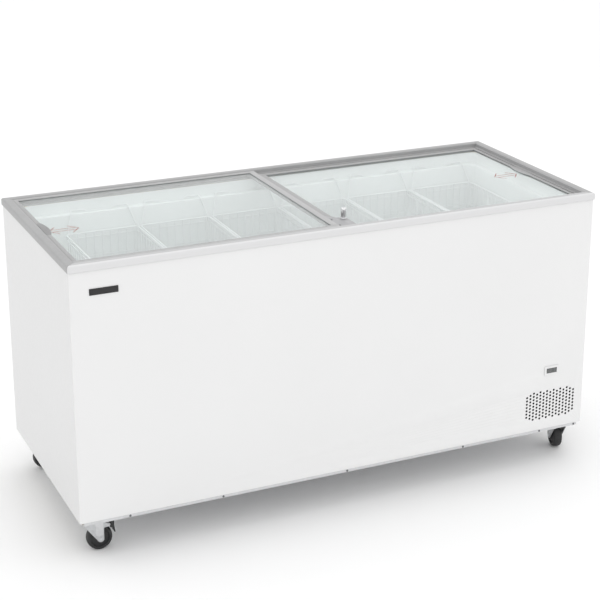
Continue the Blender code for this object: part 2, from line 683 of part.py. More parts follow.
# ---- lids -----------------------------------------------------------------------------------------
def slotted_section(width):
    """Bar section, width by lid thickness, with the glass slot in its +X side; Y is up from its underside."""
    middle = LID_THICKNESS / 2
    slot = GLASS / 2 + GAP
    bite = width - GLASS_BITE - GAP
    return [(0, 0), (width, 0), (width, middle - slot), (bite, middle - slot), (bite, middle + slot),
            (width, middle + slot), (width, LID_THICKNESS), (0, LID_THICKNESS)]


def lid_bar(name, width, start, end, slot_towards, look):
    """Slotted bar from start to end, with its slot facing slot_towards (a unit vector)."""
    start, end = Vector(start), Vector(end)
    length = (end - start).length
    along = (end - start) / length
    side = Vector(slot_towards)
    up = Vector((0, 0, 1))
    if side.cross(up).dot(along) < 0:
        start, along = end, -along
    bar = prism(name, slotted_section(width), length, look)
    bar.data.transform(Matrix((side, up, along)).transposed().to_4x4())
    bar.location = start
    return bar


def grip_outline(half_length, reach, back):
    """Lens that bulges by reach towards +X from the bar's inner edge, and by back behind its outer edge."""
    radius = (half_length ** 2 + reach ** 2) / (2 * reach)
    spread = math.degrees(math.asin(half_length / radius))
    front = arc(reach - radius, 0.0, radius, -spread, spread, 8)
    behind = -END_BAR_WIDTH
    waist = GRIP_WAIST * half_length
    return front + [(behind, half_length), (behind - back, waist), (behind - back, -waist),
                    (behind, -half_length)]


def lid(prefix, left, right, half_y, underside, meeting_width, open_side, grip_back):
    """Frame, grip and glass of one sliding lid. open_side is -1 where the meeting rail is at the right end."""
    runner_inner = half_y - RUNNER_WIDTH
    pieces = []
    for place, sign in (("front", -1), ("back", 1)):
        outer = sign * half_y
        pieces.append(lid_bar(f"{prefix}_runner_{place}", RUNNER_WIDTH, (left, outer, underside),
                              (right, outer, underside), (0, -sign, 0), GREY_PLASTIC))
    inner_y = runner_inner - GAP
    end_x, meet_x = (left, right) if open_side < 0 else (right, left)
    towards = 1 if open_side < 0 else -1
    end_bar = lid_bar(f"{prefix}_end_grip", END_BAR_WIDTH, (end_x, -inner_y, underside),
                      (end_x, inner_y, underside), (towards, 0, 0), GREY_PLASTIC)
    grip = prism("grip", grip_outline(GRIP_LENGTH / 2, GRIP_REACH, grip_back), GRIP_SHEET,
                 at=(end_x + towards * END_BAR_WIDTH, 0, underside + LID_THICKNESS - GRIP_SHEET),
                 turn=(0, 0, 0 if towards > 0 else math.pi))
    join(end_bar, [grip])
    pieces.append(end_bar)
    pieces.append(lid_bar(f"{prefix}_meeting_rail", meeting_width, (meet_x, -inner_y, underside),
                          (meet_x, inner_y, underside), (-towards, 0, 0), GREY_PLASTIC))
    glass_y = runner_inner + GLASS_BITE
    ends = sorted((end_x + towards * (END_BAR_WIDTH - GLASS_BITE),
                   meet_x - towards * (meeting_width - GLASS_BITE)))
    glass_z = underside + (LID_THICKNESS - GLASS) / 2
    pieces.append(box(f"{prefix}_glass", (ends[0], -glass_y, glass_z), (ends[1], glass_y, glass_z + GLASS),
                      CLEAR_GLASS))
    slide = joint_empty(f"{prefix}_slide", ((left + right) / 2, 0, underside))
    hang_on(slide, pieces)
    return slide


def lids():
    """The upper lid covers the left half and the lower lid the right half; returns the upper one."""
    upper = lid("left_lid", -FRAME_X + UPPER_WALL + LID_PLAY_X, MEETING_X, FRAME_Y - UPPER_WALL - LID_PLAY_Y,
                UPPER_UNDERSIDE, UPPER_MEETING_WIDTH, -1, 0.0)
    lid("right_lid", MEETING_X - LID_OVERLAP, FRAME_X - LOWER_WALL - LOWER_LID_PLAY_X,
        FRAME_Y - LOWER_WALL - LID_PLAY_Y, LOWER_UNDERSIDE, LOWER_MEETING_WIDTH, 1, GRIP_BACK)
    return upper


def lock(upper_lid):
    """Lock barrel standing on a plate that reaches from the upper lid over the lower one."""
    edge = MEETING_X + GAP
    reach, span = LOCK_PLATE
    front = -FRAME_Y + LOCK_PLATE_FRONT
    outline = [(edge, front), (edge + reach, front), (edge + reach, front + LOCK_PLATE_WAIST * span),
               (edge, front + span)]
    plate = prism("lock_plate", outline, LOCK_PLATE_SHEET, GREY_PLASTIC, at=(0, 0, UPPER_UNDERSIDE + GAP))
    base = UPPER_UNDERSIDE + LOCK_PLATE_SHEET + 2 * GAP
    r, h, bore = LOCK_RADIUS, LOCK_HEIGHT, PLUG_RADIUS + GAP
    deep = h - PLUG_HEIGHT - GAP
    barrel = turned("lock_barrel", [(0, deep), (bore, deep), (bore, h), (r - 0.001, h), (r, h - 0.001),
                                    (r, 0.003), (r + LOCK_COLLAR, 0.0025), (r + LOCK_COLLAR, 0.0), (0, 0.0)],
                    CHROME, (*LOCK_AT, base), sides=LOCK_SIDES)
    plug = turned("lock_plug", [(0, PLUG_HEIGHT), (PLUG_RADIUS, PLUG_HEIGHT), (PLUG_RADIUS, GAP), (0, GAP)],
                  CHROME, (*LOCK_AT, base + deep), sides=LOCK_SIDES)
    apply_modifiers(plug)
    half_x, half_y, depth = KEYWAY[0] / 2, KEYWAY[1] / 2, KEYWAY[2]
    keyway = box("keyway_cutter", (LOCK_AT[0] - half_x, LOCK_AT[1] - half_y, base + h - depth),
                 (LOCK_AT[0] + half_x, LOCK_AT[1] + half_y, base + h + depth), cutter=True)
    cut(plug, keyway)
    hang_on(upper_lid, [plate, barrel, plug])


# ---- baskets --------------------------------------------------------------------------------------
def basket_shell(name, inset, low, high, cutter):
    """Open box that narrows towards its bottom."""
    bm = bmesh.new()
    half_x, half_y = BASKET_HALF_X - inset, BASKET_HALF_Y - inset
    for vert in add_box(bm, (-half_x, -half_y, low), (half_x, half_y, high)):
        if vert.co.z < (low + high) / 2:
            vert.co.x -= math.copysign(BASKET_TAPER, vert.co.x)
            vert.co.y -= math.copysign(BASKET_TAPER, vert.co.y)
    return add_object(name, to_mesh(name, bm), None if cutter else BASKET_WHITE, cutter=cutter)


def basket_windows(columns=3):
    """Openings in the long walls, the end walls and the floor, each between flat bars."""
    half = BASKET_BAR / 2
    low, high = -BASKET_DEPTH + BASKET_BAND, -BASKET_BAND
    span_y = 2 * (BASKET_HALF_Y - BASKET_TAPER - BASKET_BAND)
    span_x = BASKET_HALF_X - BASKET_TAPER - BASKET_BAND
    pairs = []
    for index in range(columns):
        start = -span_y / 2 + index * span_y / columns
        y0, y1 = start + half, start + span_y / columns - half
        pairs.append(((-BASKET_PITCH, y0, low), (BASKET_PITCH, y1, high)))
        pairs.append(((-span_x, y0, -BASKET_DEPTH - BASKET_BAND), (span_x, y1, -BASKET_DEPTH + BASKET_BAND)))
    for x0, x1 in ((-span_x, -half), (half, span_x)):
        pairs.append(((x0, -HALF_D, low), (x1, HALF_D, high)))
    return pairs


def hanger_loop(side):
    """Wire loop from the rim up past the liner ledge, with a dropped centre that rests on the ledge."""
    foot_x = BASKET_HALF_X - LOOP_INSET
    shoulder_x = foot_x - LOOP_SLOPE
    foot_y = BASKET_HALF_Y - WIRE / 2
    knee_y = HALF_D - LINER_LOWER - WIRE / 2 - LOOP_WALL_GAP
    top_y = HALF_D - (LINER_UPPER + LINER_LOWER) / 2
    dip = BASKET_RIM_BELOW_LEDGE + WIRE / 2 + GAP
    shoulder = dip + LOOP_DROP
    half = [(foot_x, foot_y, -LOOP_FOOT_DEPTH), (foot_x - 0.002, foot_y, WIRE),
            (shoulder_x + 0.002, knee_y, shoulder - WIRE), (shoulder_x, top_y, shoulder),
            (LOOP_DIP + LOOP_DIP_SLOPE, top_y, shoulder), (LOOP_DIP, top_y, dip)]
    points = [(-x, y * side, z) for x, y, z in half] + [(x, y * side, z) for x, y, z in reversed(half)]
    return curve_to_mesh(tube("loop", points, WIRE / 2))


def baskets():
    """Six baskets in a row; each has its origin at the rim level over its middle."""
    master = basket_shell("basket_1", 0.0, -BASKET_DEPTH, 0.0, False)
    cut(master, basket_shell("basket_cavity", BASKET_WALL, -BASKET_DEPTH + BASKET_WALL, 0.02, True))
    for index, (low, high) in enumerate(basket_windows()):
        cut(master, box(f"window_cutter_{index}", low, high, cutter=True))
    apply_modifiers(master)
    join(master, [hanger_loop(-1), hanger_loop(1)])
    last = HALF_L - LINER_LOWER - BASKET_RIGHT_GAP - BASKET_HALF_X
    for index in range(BASKET_COUNT):
        name = f"basket_{index + 1}"
        item = master if index == 0 else bpy.data.objects.new(name, master.data)
        if index:
            collection(PARTS).objects.link(item)
        item.location = (last - (BASKET_COUNT - 1 - index) * BASKET_PITCH, 0, RIM_Z)


# ---- castors --------------------------------------------------------------------------------------
def castor_plate_mesh():
    """Top plate with the swivel head under it; origin in the plate's underside over the swivel axis."""
    length, depth, thickness = CASTOR_PLATE
    outline = rounded_rectangle(length / 2, depth / 2, PLATE_RADIUS, 2)
    plate = prism("castor_plate", [(x + PLATE_SHIFT, y) for x, y in outline], thickness, GALVANISED)
    head = cylinder("head", SWIVEL_RADIUS, SWIVEL_DEPTH + 2 * FUSE, at=(0, 0, -SWIVEL_DEPTH / 2 + FUSE), sides=20)
    join(plate, [head])
    return plate


def fork_mesh():
    """Crown and two cheeks of pressed steel, with the axle bolt; origin on the floor under the swivel."""
    crown_low = CROWN_TOP - CROWN_SHEET
    outer = FORK_GAP + FORK_SHEET
    back = -CROWN_BACK
    trail, axle_z = CASTOR_TRAIL, WHEEL_RADIUS
    pivot_x, pivot_z = CASTOR_TRAIL + PEDAL_REACH, CROWN_TOP - PEDAL_DROP
    eye, front = CHEEK_EYE, trail + CHEEK_EYE
    fork = box("castor_fork", (back, -outer, crown_low), (front + CHEEK_LIP, outer, CROWN_TOP), GALVANISED)
    cheek = [(back, CROWN_TOP - FUSE), (back, crown_low - 0.001)]
    cheek += arc(trail, axle_z, eye, 205, 345, 4)
    cheek += [(front, pivot_z - ARM_HALF)]
    cheek += arc(pivot_x, pivot_z, ARM_HALF, -90, 90, 4)
    cheek += [(front + CHEEK_LIP, pivot_z + ARM_HALF + 0.002), (front + CHEEK_LIP, CROWN_TOP - FUSE)]
    parts = [prism("cheek", cheek, FORK_SHEET, at=(0, side, 0), turn=(math.pi / 2, 0, 0))
             for side in (outer, -FORK_GAP)]
    parts.append(cylinder("axle", AXLE_RADIUS, 2 * outer + 0.006, at=(trail, 0, axle_z),
                          turn=(math.pi / 2, 0, 0), sides=12))
    join(fork, parts)
    fork.data.transform(Matrix.Translation(fork.location))
    fork.location = (0, 0, 0)
    return fork


def wheel_profile():
    """Tyre, rim and hub as (radius, height) points, top to bottom on the outer side."""
    half = WHEEL_WIDTH / 2
    hub = FORK_GAP - SIDE_PLAY
    r = WHEEL_RADIUS
    upper = [(AXLE_RADIUS + 0.0006, hub), (0.3 * r, hub), (0.74 * r, half - 0.002), (r - 0.0045, half),
             (r, half - 0.0055)]
    return upper + [(radius, -height) for radius, height in reversed(upper)]


def pedal_mesh():
    """Brake pedal: a lever down the back of the wheel, on a barrel between the cheeks; origin on the pivot."""
    side, wide = FORK_GAP - SIDE_PLAY, FORK_GAP + FORK_SHEET
    foot = WHEEL_RADIUS - PEDAL_REACH + PEDAL_WHEEL_PLAY
    head = PEDAL_HEAD
    web = [(-0.0030, 0.0035), (0.0060, head), (foot - 0.0040, head), (foot - 0.0040, -0.0100),
           (0.0070, -0.0105), (0.0035, -0.0040), (-0.0030, -0.0035)]
    lever = [(ARM_HALF + 0.0008, head), (foot + 0.0008, head), (foot, -0.0035), (foot + 0.0030, -0.0240),
             (foot + 0.0002, -0.0240), (foot - 0.0040, -0.0100), (ARM_HALF + 0.0008, -0.0090)]
    pedal = prism("brake_pedal", lever, 2 * wide, BLACK_PLASTIC, at=(0, wide, 0), turn=(math.pi / 2, 0, 0))
    join(pedal, [prism("web", web, 2 * side, at=(0, side, 0), turn=(math.pi / 2, 0, 0)),
                 cylinder("barrel", PEDAL_BARREL, 2 * side, turn=(math.pi / 2, 0, 0), sides=12)])
    pedal.data.transform(Matrix.Translation(pedal.location) @ pedal.rotation_euler.to_matrix().to_4x4())
    pedal.location = (0, 0, 0)
    pedal.rotation_euler = (0, 0, 0)
    return pedal


def castors():
    """Four swivel castors from shared meshes; the two front ones carry a brake pedal."""
    wheel = turned("castor_wheel", wheel_profile(), BLACK_RUBBER, sides=WHEEL_SEGMENTS, closed=True)
    apply_modifiers(wheel)
    masters = {"plate": castor_plate_mesh(), "fork": fork_mesh(), "pedal": pedal_mesh(), "wheel": wheel}
    meshes = {key: item.data for key, item in masters.items()}
    for item in masters.values():
        bpy.data.objects.remove(item, do_unlink=True)
    for corner, turn in CASTOR_TURNS.items():
        end, side = corner.split("_")
        x = (-1 if side == "left" else 1) * (HALF_L - CASTOR_INSET_X)
        y = (-1 if end == "front" else 1) * (HALF_D - CASTOR_INSET_Y)
        angle = math.radians(turn)
        forward = Vector((math.cos(angle), math.sin(angle), 0))
        add_object(f"castor_plate_{corner}", meshes["plate"], at=(x, y, PLATE_Z),
                   turn=(0, 0, 0 if side == "left" else math.pi))
        swivel = joint_empty(f"castor_swivel_{corner}", (x, y, 0), (0, 0, angle))
        pieces = [add_object(f"castor_fork_{corner}", meshes["fork"], at=(x, y, 0), turn=(0, 0, angle))]
        axle = Vector((x, y, WHEEL_RADIUS)) + CASTOR_TRAIL * forward
        pieces.append(add_object(f"castor_wheel_{corner}", meshes["wheel"], at=axle, turn=(math.pi / 2, 0, angle)))
        if corner in PEDALS:
            pivot = Vector((x, y, CROWN_TOP - PEDAL_DROP)) + (CASTOR_TRAIL + PEDAL_REACH) * forward
            pieces.append(add_object(f"brake_pedal_{corner}", meshes["pedal"], at=pivot, turn=(0, 0, angle)))
        hang_on(swivel, pieces)


# ---- front details --------------------------------------------------------------------------------
def thermometer():
    """Bezel pushed through the front panel with the display window in it."""
    x, z = HALF_L - THERMOMETER_INSET[0], BODY_Z + THERMOMETER_INSET[1]
    half_x, half_z = THERMOMETER_BEZEL[0] / 2, THERMOMETER_BEZEL[1] / 2
    face = -HALF_D - GAP
    front = face - THERMOMETER_BEZEL[2]
    bezel = box("thermometer_bezel", (x - half_x, front, z - half_z), (x + half_x, face, z + half_z),
                BASKET_WHITE)
    cut_x, cut_z = THERMOMETER_CUT[0] / 2 - GAP, THERMOMETER_CUT[1] / 2 - GAP
    neck = box("neck", (x - cut_x, face - 0.001, z - cut_z), (x + cut_x, face + THERMOMETER_DEPTH, z + cut_z))
    join(bezel, [neck])
    win_x, win_z = THERMOMETER_WINDOW[0] / 2, THERMOMETER_WINDOW[1] / 2
    cut(bezel, box("window_cutter", (x - win_x, front - WINDOW_DEPTH, z - win_z),
                   (x + win_x, front + WINDOW_DEPTH, z + win_z), cutter=True))
    box("thermometer_display", (x - win_x + GAP, front + SHEET, z - win_z + GAP),
        (x + win_x - GAP, front + WINDOW_DEPTH - GAP, z + win_z - GAP), BLACK_PLASTIC)


def badge_plate():
    x, z = -HALF_L + BADGE_INSET[0], TOP_Z - BADGE_INSET[1]
    width, height, thickness = BADGE_SIZE
    face = -HALF_D - GAP
    box("badge_plate", (x - width / 2, face - thickness, z - height / 2), (x + width / 2, face, z + height / 2),
        BLACK_PLASTIC)


# ---- machine compartment --------------------------------------------------------------------------
def condenser():
    """Finned block right behind the punched vent."""
    x0, x1 = CONDENSER_X
    y0, y1 = CONDENSER_Y
    z0, z1 = CONDENSER_Z
    pitch = (x1 - x0) / CONDENSER_FINS
    block = box("condenser", (x0, y0, z0), (x1, y1, z1), BLACK_PLASTIC)
    slots = []
    for index in range(CONDENSER_FINS):
        x = x0 + index * pitch
        slots.append(((x + 0.25 * pitch, y0 - FIN_DEPTH, z0 + FIN_MARGIN),
                      (x + 0.80 * pitch, y0 + FIN_DEPTH, z1 - FIN_MARGIN)))
    cut(block, boxes("fin_cutter", slots, cutter=True))


def fan():
    """Shroud with a round duct, motor on a bracket behind it, and the fan in the duct."""
    x, z = FAN_AT
    y0, y1 = SHROUD_Y
    shroud = box("fan_shroud", (CONDENSER_X[0], y0, CONDENSER_Z[0]), (CONDENSER_X[1], y1, CONDENSER_Z[1]),
                 BLACK_PLASTIC)
    duct = FAN_RADIUS + DUCT_PLAY
    cut(shroud, cylinder("duct_cutter", duct, 0.1, at=(x, y0, z), turn=(math.pi / 2, 0, 0), cutter=True))
    sides = [sorted((x + side * (duct + DUCT_PLAY), x + side * (CONDENSER_X[1] - x + 0.01))) for side in (-1, 1)]
    cut(shroud, boxes("shroud_relief", [((low, y0 + SHROUD_FACE, CONDENSER_Z[0] - 0.01),
                                         (high, y1 + 0.01, CONDENSER_Z[1] + 0.01)) for low, high in sides],
                      cutter=True))
    motor_y = y1 + MOTOR_SETBACK
    half, radius = MOTOR_HALF, MOTOR_RADIUS
    cap, rim = half + 0.004, radius - 0.005
    motor = turned("fan_motor", [(0, cap), (rim, cap), (radius, half), (radius, -half), (rim, -cap), (0, -cap)],
                   BLACK_PLASTIC, (x, motor_y, z), (-math.pi / 2, 0, 0), 16)
    apply_modifiers(motor)
    thick, tall = MOTOR_ARM
    reach = duct + DUCT_PLAY - GAP
    arm = box("arm", (x - reach, motor_y, z - tall), (x + reach, motor_y + thick, z + tall))
    feet = [box("foot", (x + low, y1 + GAP, z - tall), (x + low + thick, motor_y + thick - 0.0005, z + tall))
            for low in (-reach, reach - thick)]
    join(motor, [arm, *feet])
    hub_radius, hub_length = FAN_HUB
    hub_y = motor_y - cap - GAP - hub_length / 2
    blade = cylinder("fan_blade", hub_radius, hub_length, BLACK_PLASTIC, at=(x, hub_y, z),
                     turn=(math.pi / 2, 0, 0), sides=16)
    wings = []
    for index in range(FAN_BLADES):
        bm = bmesh.new()
        add_box(bm, (hub_radius - 0.004, -0.0010, -0.012), (FAN_RADIUS - 0.002, 0.0010, 0.012))
        tilt = Matrix.Rotation(math.radians(FAN_TILT), 4, "X")
        spin = Matrix.Rotation(2 * math.pi * index / FAN_BLADES, 4, "Y")
        bm.transform(spin @ tilt)
        wings.append(add_object("wing", to_mesh("wing", bm), at=blade.location))
    join(blade, wings)


def compressor():
    """Hermetic shell with a domed lid, standing on its foot plate, with the relay on its side."""
    x, y, r = COMPRESSOR_X, COMPRESSOR_Y, COMPRESSOR_RADIUS
    dome = [(0, 0.176), (0.55 * r, 0.167), (0.88 * r, 0.144), (r, 0.106), (1.05 * r, 0.102), (1.05 * r, 0.098),
            (r, 0.096), (r, 0.050), (0.82 * r, 0.020), (0, 0.010)]
    shell = turned("compressor", dome, BLACK_PLASTIC, (x, y, TRAY_FLOOR), sides=COMPRESSOR_SIDES)
    apply_modifiers(shell)
    half_x, half_y, foot_z, foot_sheet = COMPRESSOR_FOOT
    foot_z += TRAY_FLOOR
    foot = box("foot", (x - half_x, y - half_y, foot_z), (x + half_x, y + half_y, foot_z + foot_sheet))
    reach, half_width, low, high = RELAY
    relay = box("relay", (x + r - 0.008, y - half_width, TRAY_FLOOR + low),
                (x + r + reach, y + half_width, TRAY_FLOOR + high))
    pad_height = foot_z - TRAY_FLOOR - GAP + FUSE
    pads = [cylinder("pad", PAD[0], pad_height,
                     at=(x + sx * PAD[1], y + sy * PAD[2], foot_z + FUSE - pad_height / 2), sides=8)
            for sx in (-1, 1) for sy in (-1, 1)]
    join(shell, [foot, relay, *pads])


def pipes():
    """Discharge line to the condenser, and the liquid line with its filter drier."""
    x = COMPRESSOR_X - 0.0245
    y = COMPRESSOR_Y - 0.0245
    top = TRAY_FLOOR + 0.1735
    back = CONDENSER_Y[1] - FIN_DEPTH
    high = top + 0.0305
    discharge = [(x, y, top), (x, y, top + 0.0185), (x - 0.001, y - 0.004, top + 0.0245),
                 (x - 0.004, y - 0.014, top + 0.0285), (x - 0.010, y - 0.040, high), (x - 0.014, back + 0.065, high),
                 (x - 0.014, back + 0.006, high), (x - 0.014, back, high - 0.006),
                 (x - 0.014, back, CONDENSER_Z[1] + 0.002)]
    tube("discharge_pipe", discharge, PIPE_RADIUS, COPPER, resolution=1)
    wall = COMPARTMENT_X + SHEET
    x, z = wall + 0.0355, TRAY_FLOOR + 0.0588
    liquid = [(CONDENSER_X[0] - GAP, back, z), (x + 0.045, back, z), (x + 0.020, back + 0.002, z),
              (x + 0.006, back + 0.008, z + 0.001), (x, back + 0.020, z + 0.004), (x, back + 0.070, z + 0.014),
              (x, back + 0.072, z + 0.0144), (x, back + 0.160, z + 0.030), (x, back + 0.162, z + 0.0304),
              (x, back + 0.250, z + 0.045), (x - 0.003, back + 0.262, z + 0.047),
              (x - 0.012, back + 0.268, z + 0.048), (wall + GAP, back + 0.270, z + 0.048)]
    fat = [3.0 if index in (6, 7) else 1.0 for index in range(len(liquid))]
    tube("filter_drier", liquid, PIPE_RADIUS, COPPER, fat, resolution=1)


def evaporator_tube():
    """Tube wound round the liner inside the foam."""
    offset = LINER + GAP + COIL_RADIUS + COIL_STANDOFF
    ring = rounded_rectangle(HALF_L - LINER_LOWER + offset, HALF_D - LINER_LOWER + offset, LINER_RADIUS + offset)
    low, high = STEP_Z + COIL_INSET, LEDGE_Z - COIL_INSET
    total = COIL_TURNS * len(ring)
    points = []
    for index in range(total):
        x, y = ring[index % len(ring)]
        points.append((x, y, low + (high - low) * index / (total - 1)))
    tube("evaporator_tube", points, COIL_RADIUS, COPPER)


def build():
    clear_scene()
    front_panel()
    side_panels()
    rear_panel()
    rear_cover()
    thermostat_knob()
    cord_gland()
    base_tray()
    inner_liner()
    drain_plug()
    insulation_foam()
    machine_bulkhead()
    top_frame()
    lock(lids())
    baskets()
    castors()
    thermometer()
    badge_plate()
    condenser()
    fan()
    compressor()
    pipes()
    evaporator_tube()


build()
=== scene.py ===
"""Looks of the chest freezer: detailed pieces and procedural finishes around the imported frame.

Metres, +Z up, the frame's own axes: +X along the front, -Y to the shopper.
"""
import json
import math

import bmesh
import bpy
from mathutils import Matrix, Vector


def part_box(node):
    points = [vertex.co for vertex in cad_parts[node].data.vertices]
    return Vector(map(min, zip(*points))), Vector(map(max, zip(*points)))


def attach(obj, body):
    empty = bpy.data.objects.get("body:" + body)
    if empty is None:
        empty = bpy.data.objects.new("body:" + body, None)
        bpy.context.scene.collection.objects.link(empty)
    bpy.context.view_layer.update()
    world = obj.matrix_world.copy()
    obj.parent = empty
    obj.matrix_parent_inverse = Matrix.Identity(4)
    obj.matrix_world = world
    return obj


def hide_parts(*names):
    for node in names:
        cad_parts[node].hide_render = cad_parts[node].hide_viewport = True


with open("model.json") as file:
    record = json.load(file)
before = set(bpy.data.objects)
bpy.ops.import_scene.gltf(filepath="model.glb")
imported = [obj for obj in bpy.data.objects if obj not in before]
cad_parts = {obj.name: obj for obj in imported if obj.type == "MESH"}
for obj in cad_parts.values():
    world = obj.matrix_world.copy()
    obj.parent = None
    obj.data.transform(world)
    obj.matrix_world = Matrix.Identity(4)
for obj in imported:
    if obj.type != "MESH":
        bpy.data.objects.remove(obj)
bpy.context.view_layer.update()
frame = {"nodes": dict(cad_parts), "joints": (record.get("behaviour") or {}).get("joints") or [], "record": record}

NODES = frame["nodes"]
UP = Vector((0, 0, 1))

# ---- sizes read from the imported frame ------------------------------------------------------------
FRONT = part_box("front_panel")
HALF_L, FACE_Y = FRONT[1].x, FRONT[0].y
BODY_Z = FRONT[0].z
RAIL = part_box("top_rail_front")
FRAME_X, FRAME_Y, TOP_Z = RAIL[1].x, -RAIL[0].y, RAIL[1].z
BASKETS = [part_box(f"basket_{k}") for k in range(1, 7)]
WHEEL_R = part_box("castor_wheel_front_left")[1].z / 2
GAP = 0.0003

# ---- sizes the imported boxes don't give -------------------------------------------------------------
LID_THICKNESS, END_BAR_WIDTH, GRIP_BACK = 0.0085, 0.0115, 0.0015
GRIP_RISE = 0.00025          # lifts the grip clear of the bar's own plane
LINER_UPPER, LINER_LOWER = 0.036, 0.050
LEDGE_DROP = 0.0586          # frame top to the baskets' ledge
CASTOR_TRAIL, PEDAL_REACH = 0.031, 0.0205
CROWN_TOP, PEDAL_DROP = 0.0889, 0.0182
CHEEK_OUTER, CHEEK_INNER = 0.0185, 0.0160


# ---- finishes -------------------------------------------------------------------------------------
class Graph:
    """Small helper around one material's node tree."""

    def __init__(self, name):
        self.material = bpy.data.materials.new(name)
        self.material.use_nodes = True
        self.tree = self.material.node_tree
        self.shader = self.tree.nodes["Principled BSDF"]
        self.place = self.node("ShaderNodeTexCoord").outputs["Object"]

    def node(self, kind, **values):
        made = self.tree.nodes.new(kind)
        for key, value in values.items():
            setattr(made, key, value)
        return made

    def link(self, source, target):
        self.tree.links.new(source, target)

    def stretched(self, grain):
        mapping = self.node("ShaderNodeMapping")
        mapping.inputs["Scale"].default_value = grain
        self.link(self.place, mapping.inputs["Vector"])
        return mapping.outputs["Vector"]

    def noise(self, scale, detail=3.0, grain=(1, 1, 1), rough=0.55):
        made = self.node("ShaderNodeTexNoise")
        made.inputs["Scale"].default_value = scale
        made.inputs["Detail"].default_value = detail
        made.inputs["Roughness"].default_value = rough
        self.link(self.stretched(grain), made.inputs["Vector"])
        return made.outputs["Fac"]

    def cells(self, scale, output="Color"):
        made = self.node("ShaderNodeTexVoronoi")
        made.inputs["Scale"].default_value = scale
        self.link(self.place, made.inputs["Vector"])
        return made.outputs[output]

    def spread(self, source, low, high, start=0.3, end=0.7):
        made = self.node("ShaderNodeMapRange")
        made.inputs["From Min"].default_value = start
        made.inputs["From Max"].default_value = end
        made.inputs["To Min"].default_value = low
        made.inputs["To Max"].default_value = high
        self.link(source, made.inputs["Value"])
        return made.outputs["Result"]

    def blend(self, factor, dark, light):
        made = self.node("ShaderNodeMix", data_type="RGBA")
        self.link(factor, made.inputs["Factor"])
        for socket, colour in (("A", dark), ("B", light)):
            slot = [i for i in made.inputs if i.name == socket and i.type == "RGBA"][0]
            if isinstance(colour, bpy.types.NodeSocket):
                self.link(colour, slot)
            else:
                slot.default_value = (*colour, 1.0)
        return [o for o in made.outputs if o.type == "RGBA"][0]

    def bump(self, height, strength, distance, below=None):
        made = self.node("ShaderNodeBump")
        made.inputs["Strength"].default_value = strength
        made.inputs["Distance"].default_value = distance
        self.link(height, made.inputs["Height"])
        if below is not None:
            self.link(below, made.inputs["Normal"])
        return made.outputs["Normal"]

    def set(self, **values):
        for key, value in values.items():
            self.shader.inputs[key.replace("_", " ")].default_value = value


def shade(colour, factor):
    return tuple(min(1.0, channel * factor) for channel in colour)


def finish(name, colour, rough, metal=0.0, vary=0.05, mottle=9.0, grain=(1, 1, 1), fine=700.0, bump=0.10,
           depth=0.0002, rough_spread=0.06, coat=0.0, spangle=0.0, wear=0.0, wear_colour=(0.5, 0.5, 0.5)):
    """A finish with colour drift, uneven gloss, fine relief, optional spangle and rubbed edges."""
    g = Graph(name)
    drift = g.spread(g.noise(mottle, 4.0, grain), 0.0, 1.0)
    base = g.blend(drift, shade(colour, 1.0 - vary), shade(colour, 1.0 + vary * 0.5))
    if spangle:
        grey = g.node("ShaderNodeRGBToBW")
        g.link(g.cells(190.0), grey.inputs["Color"])
        flakes = g.spread(grey.outputs["Val"], 0.0, spangle, 0.2, 0.9)
        base = g.blend(flakes, base, shade(colour, 0.62))
    if wear:
        rub = g.node("ShaderNodeNewGeometry").outputs["Pointiness"]
        edge = g.spread(rub, 0.0, wear, 0.52, 0.60)
        base = g.blend(edge, base, wear_colour)
    g.link(base, g.shader.inputs["Base Color"])
    grains = g.noise(fine, 2.0, grain)
    g.link(g.spread(g.noise(fine * 0.08, 3.0, grain), rough - rough_spread, rough + rough_spread),
           g.shader.inputs["Roughness"])
    relief = g.bump(grains, bump, depth)
    g.link(relief, g.shader.inputs["Normal"])
    g.set(Metallic=metal, Coat_Weight=coat, Coat_Roughness=0.12)
    return g.material


def glass_finish():
    """Clear tempered pane with a green cast, which lets the lamps through to what lies under it."""
    g = Graph("lid_glass")
    drift = g.spread(g.noise(5.0), 0.0, 1.0)
    g.link(g.blend(drift, (0.962, 0.985, 0.982), (0.975, 0.992, 0.99)), g.shader.inputs["Base Color"])
    g.link(g.spread(g.noise(30.0), 0.0, 0.02), g.shader.inputs["Roughness"])
    g.set(Transmission_Weight=1.0, IOR=1.45)
    clear = g.node("ShaderNodeBsdfTransparent")
    clear.inputs["Color"].default_value = (0.965, 0.985, 0.982, 1.0)
    path = g.node("ShaderNodeLightPath")
    either = g.node("ShaderNodeMath", operation="MAXIMUM")
    g.link(path.outputs["Is Shadow Ray"], either.inputs[0])
    g.link(path.outputs["Is Diffuse Ray"], either.inputs[1])
    mix = g.node("ShaderNodeMixShader")
    g.link(either.outputs[0], mix.inputs["Fac"])
    g.link(g.shader.outputs["BSDF"], mix.inputs[1])
    g.link(clear.outputs["BSDF"], mix.inputs[2])
    g.link(mix.outputs[0], g.tree.nodes["Material Output"].inputs["Surface"])
    return g.material


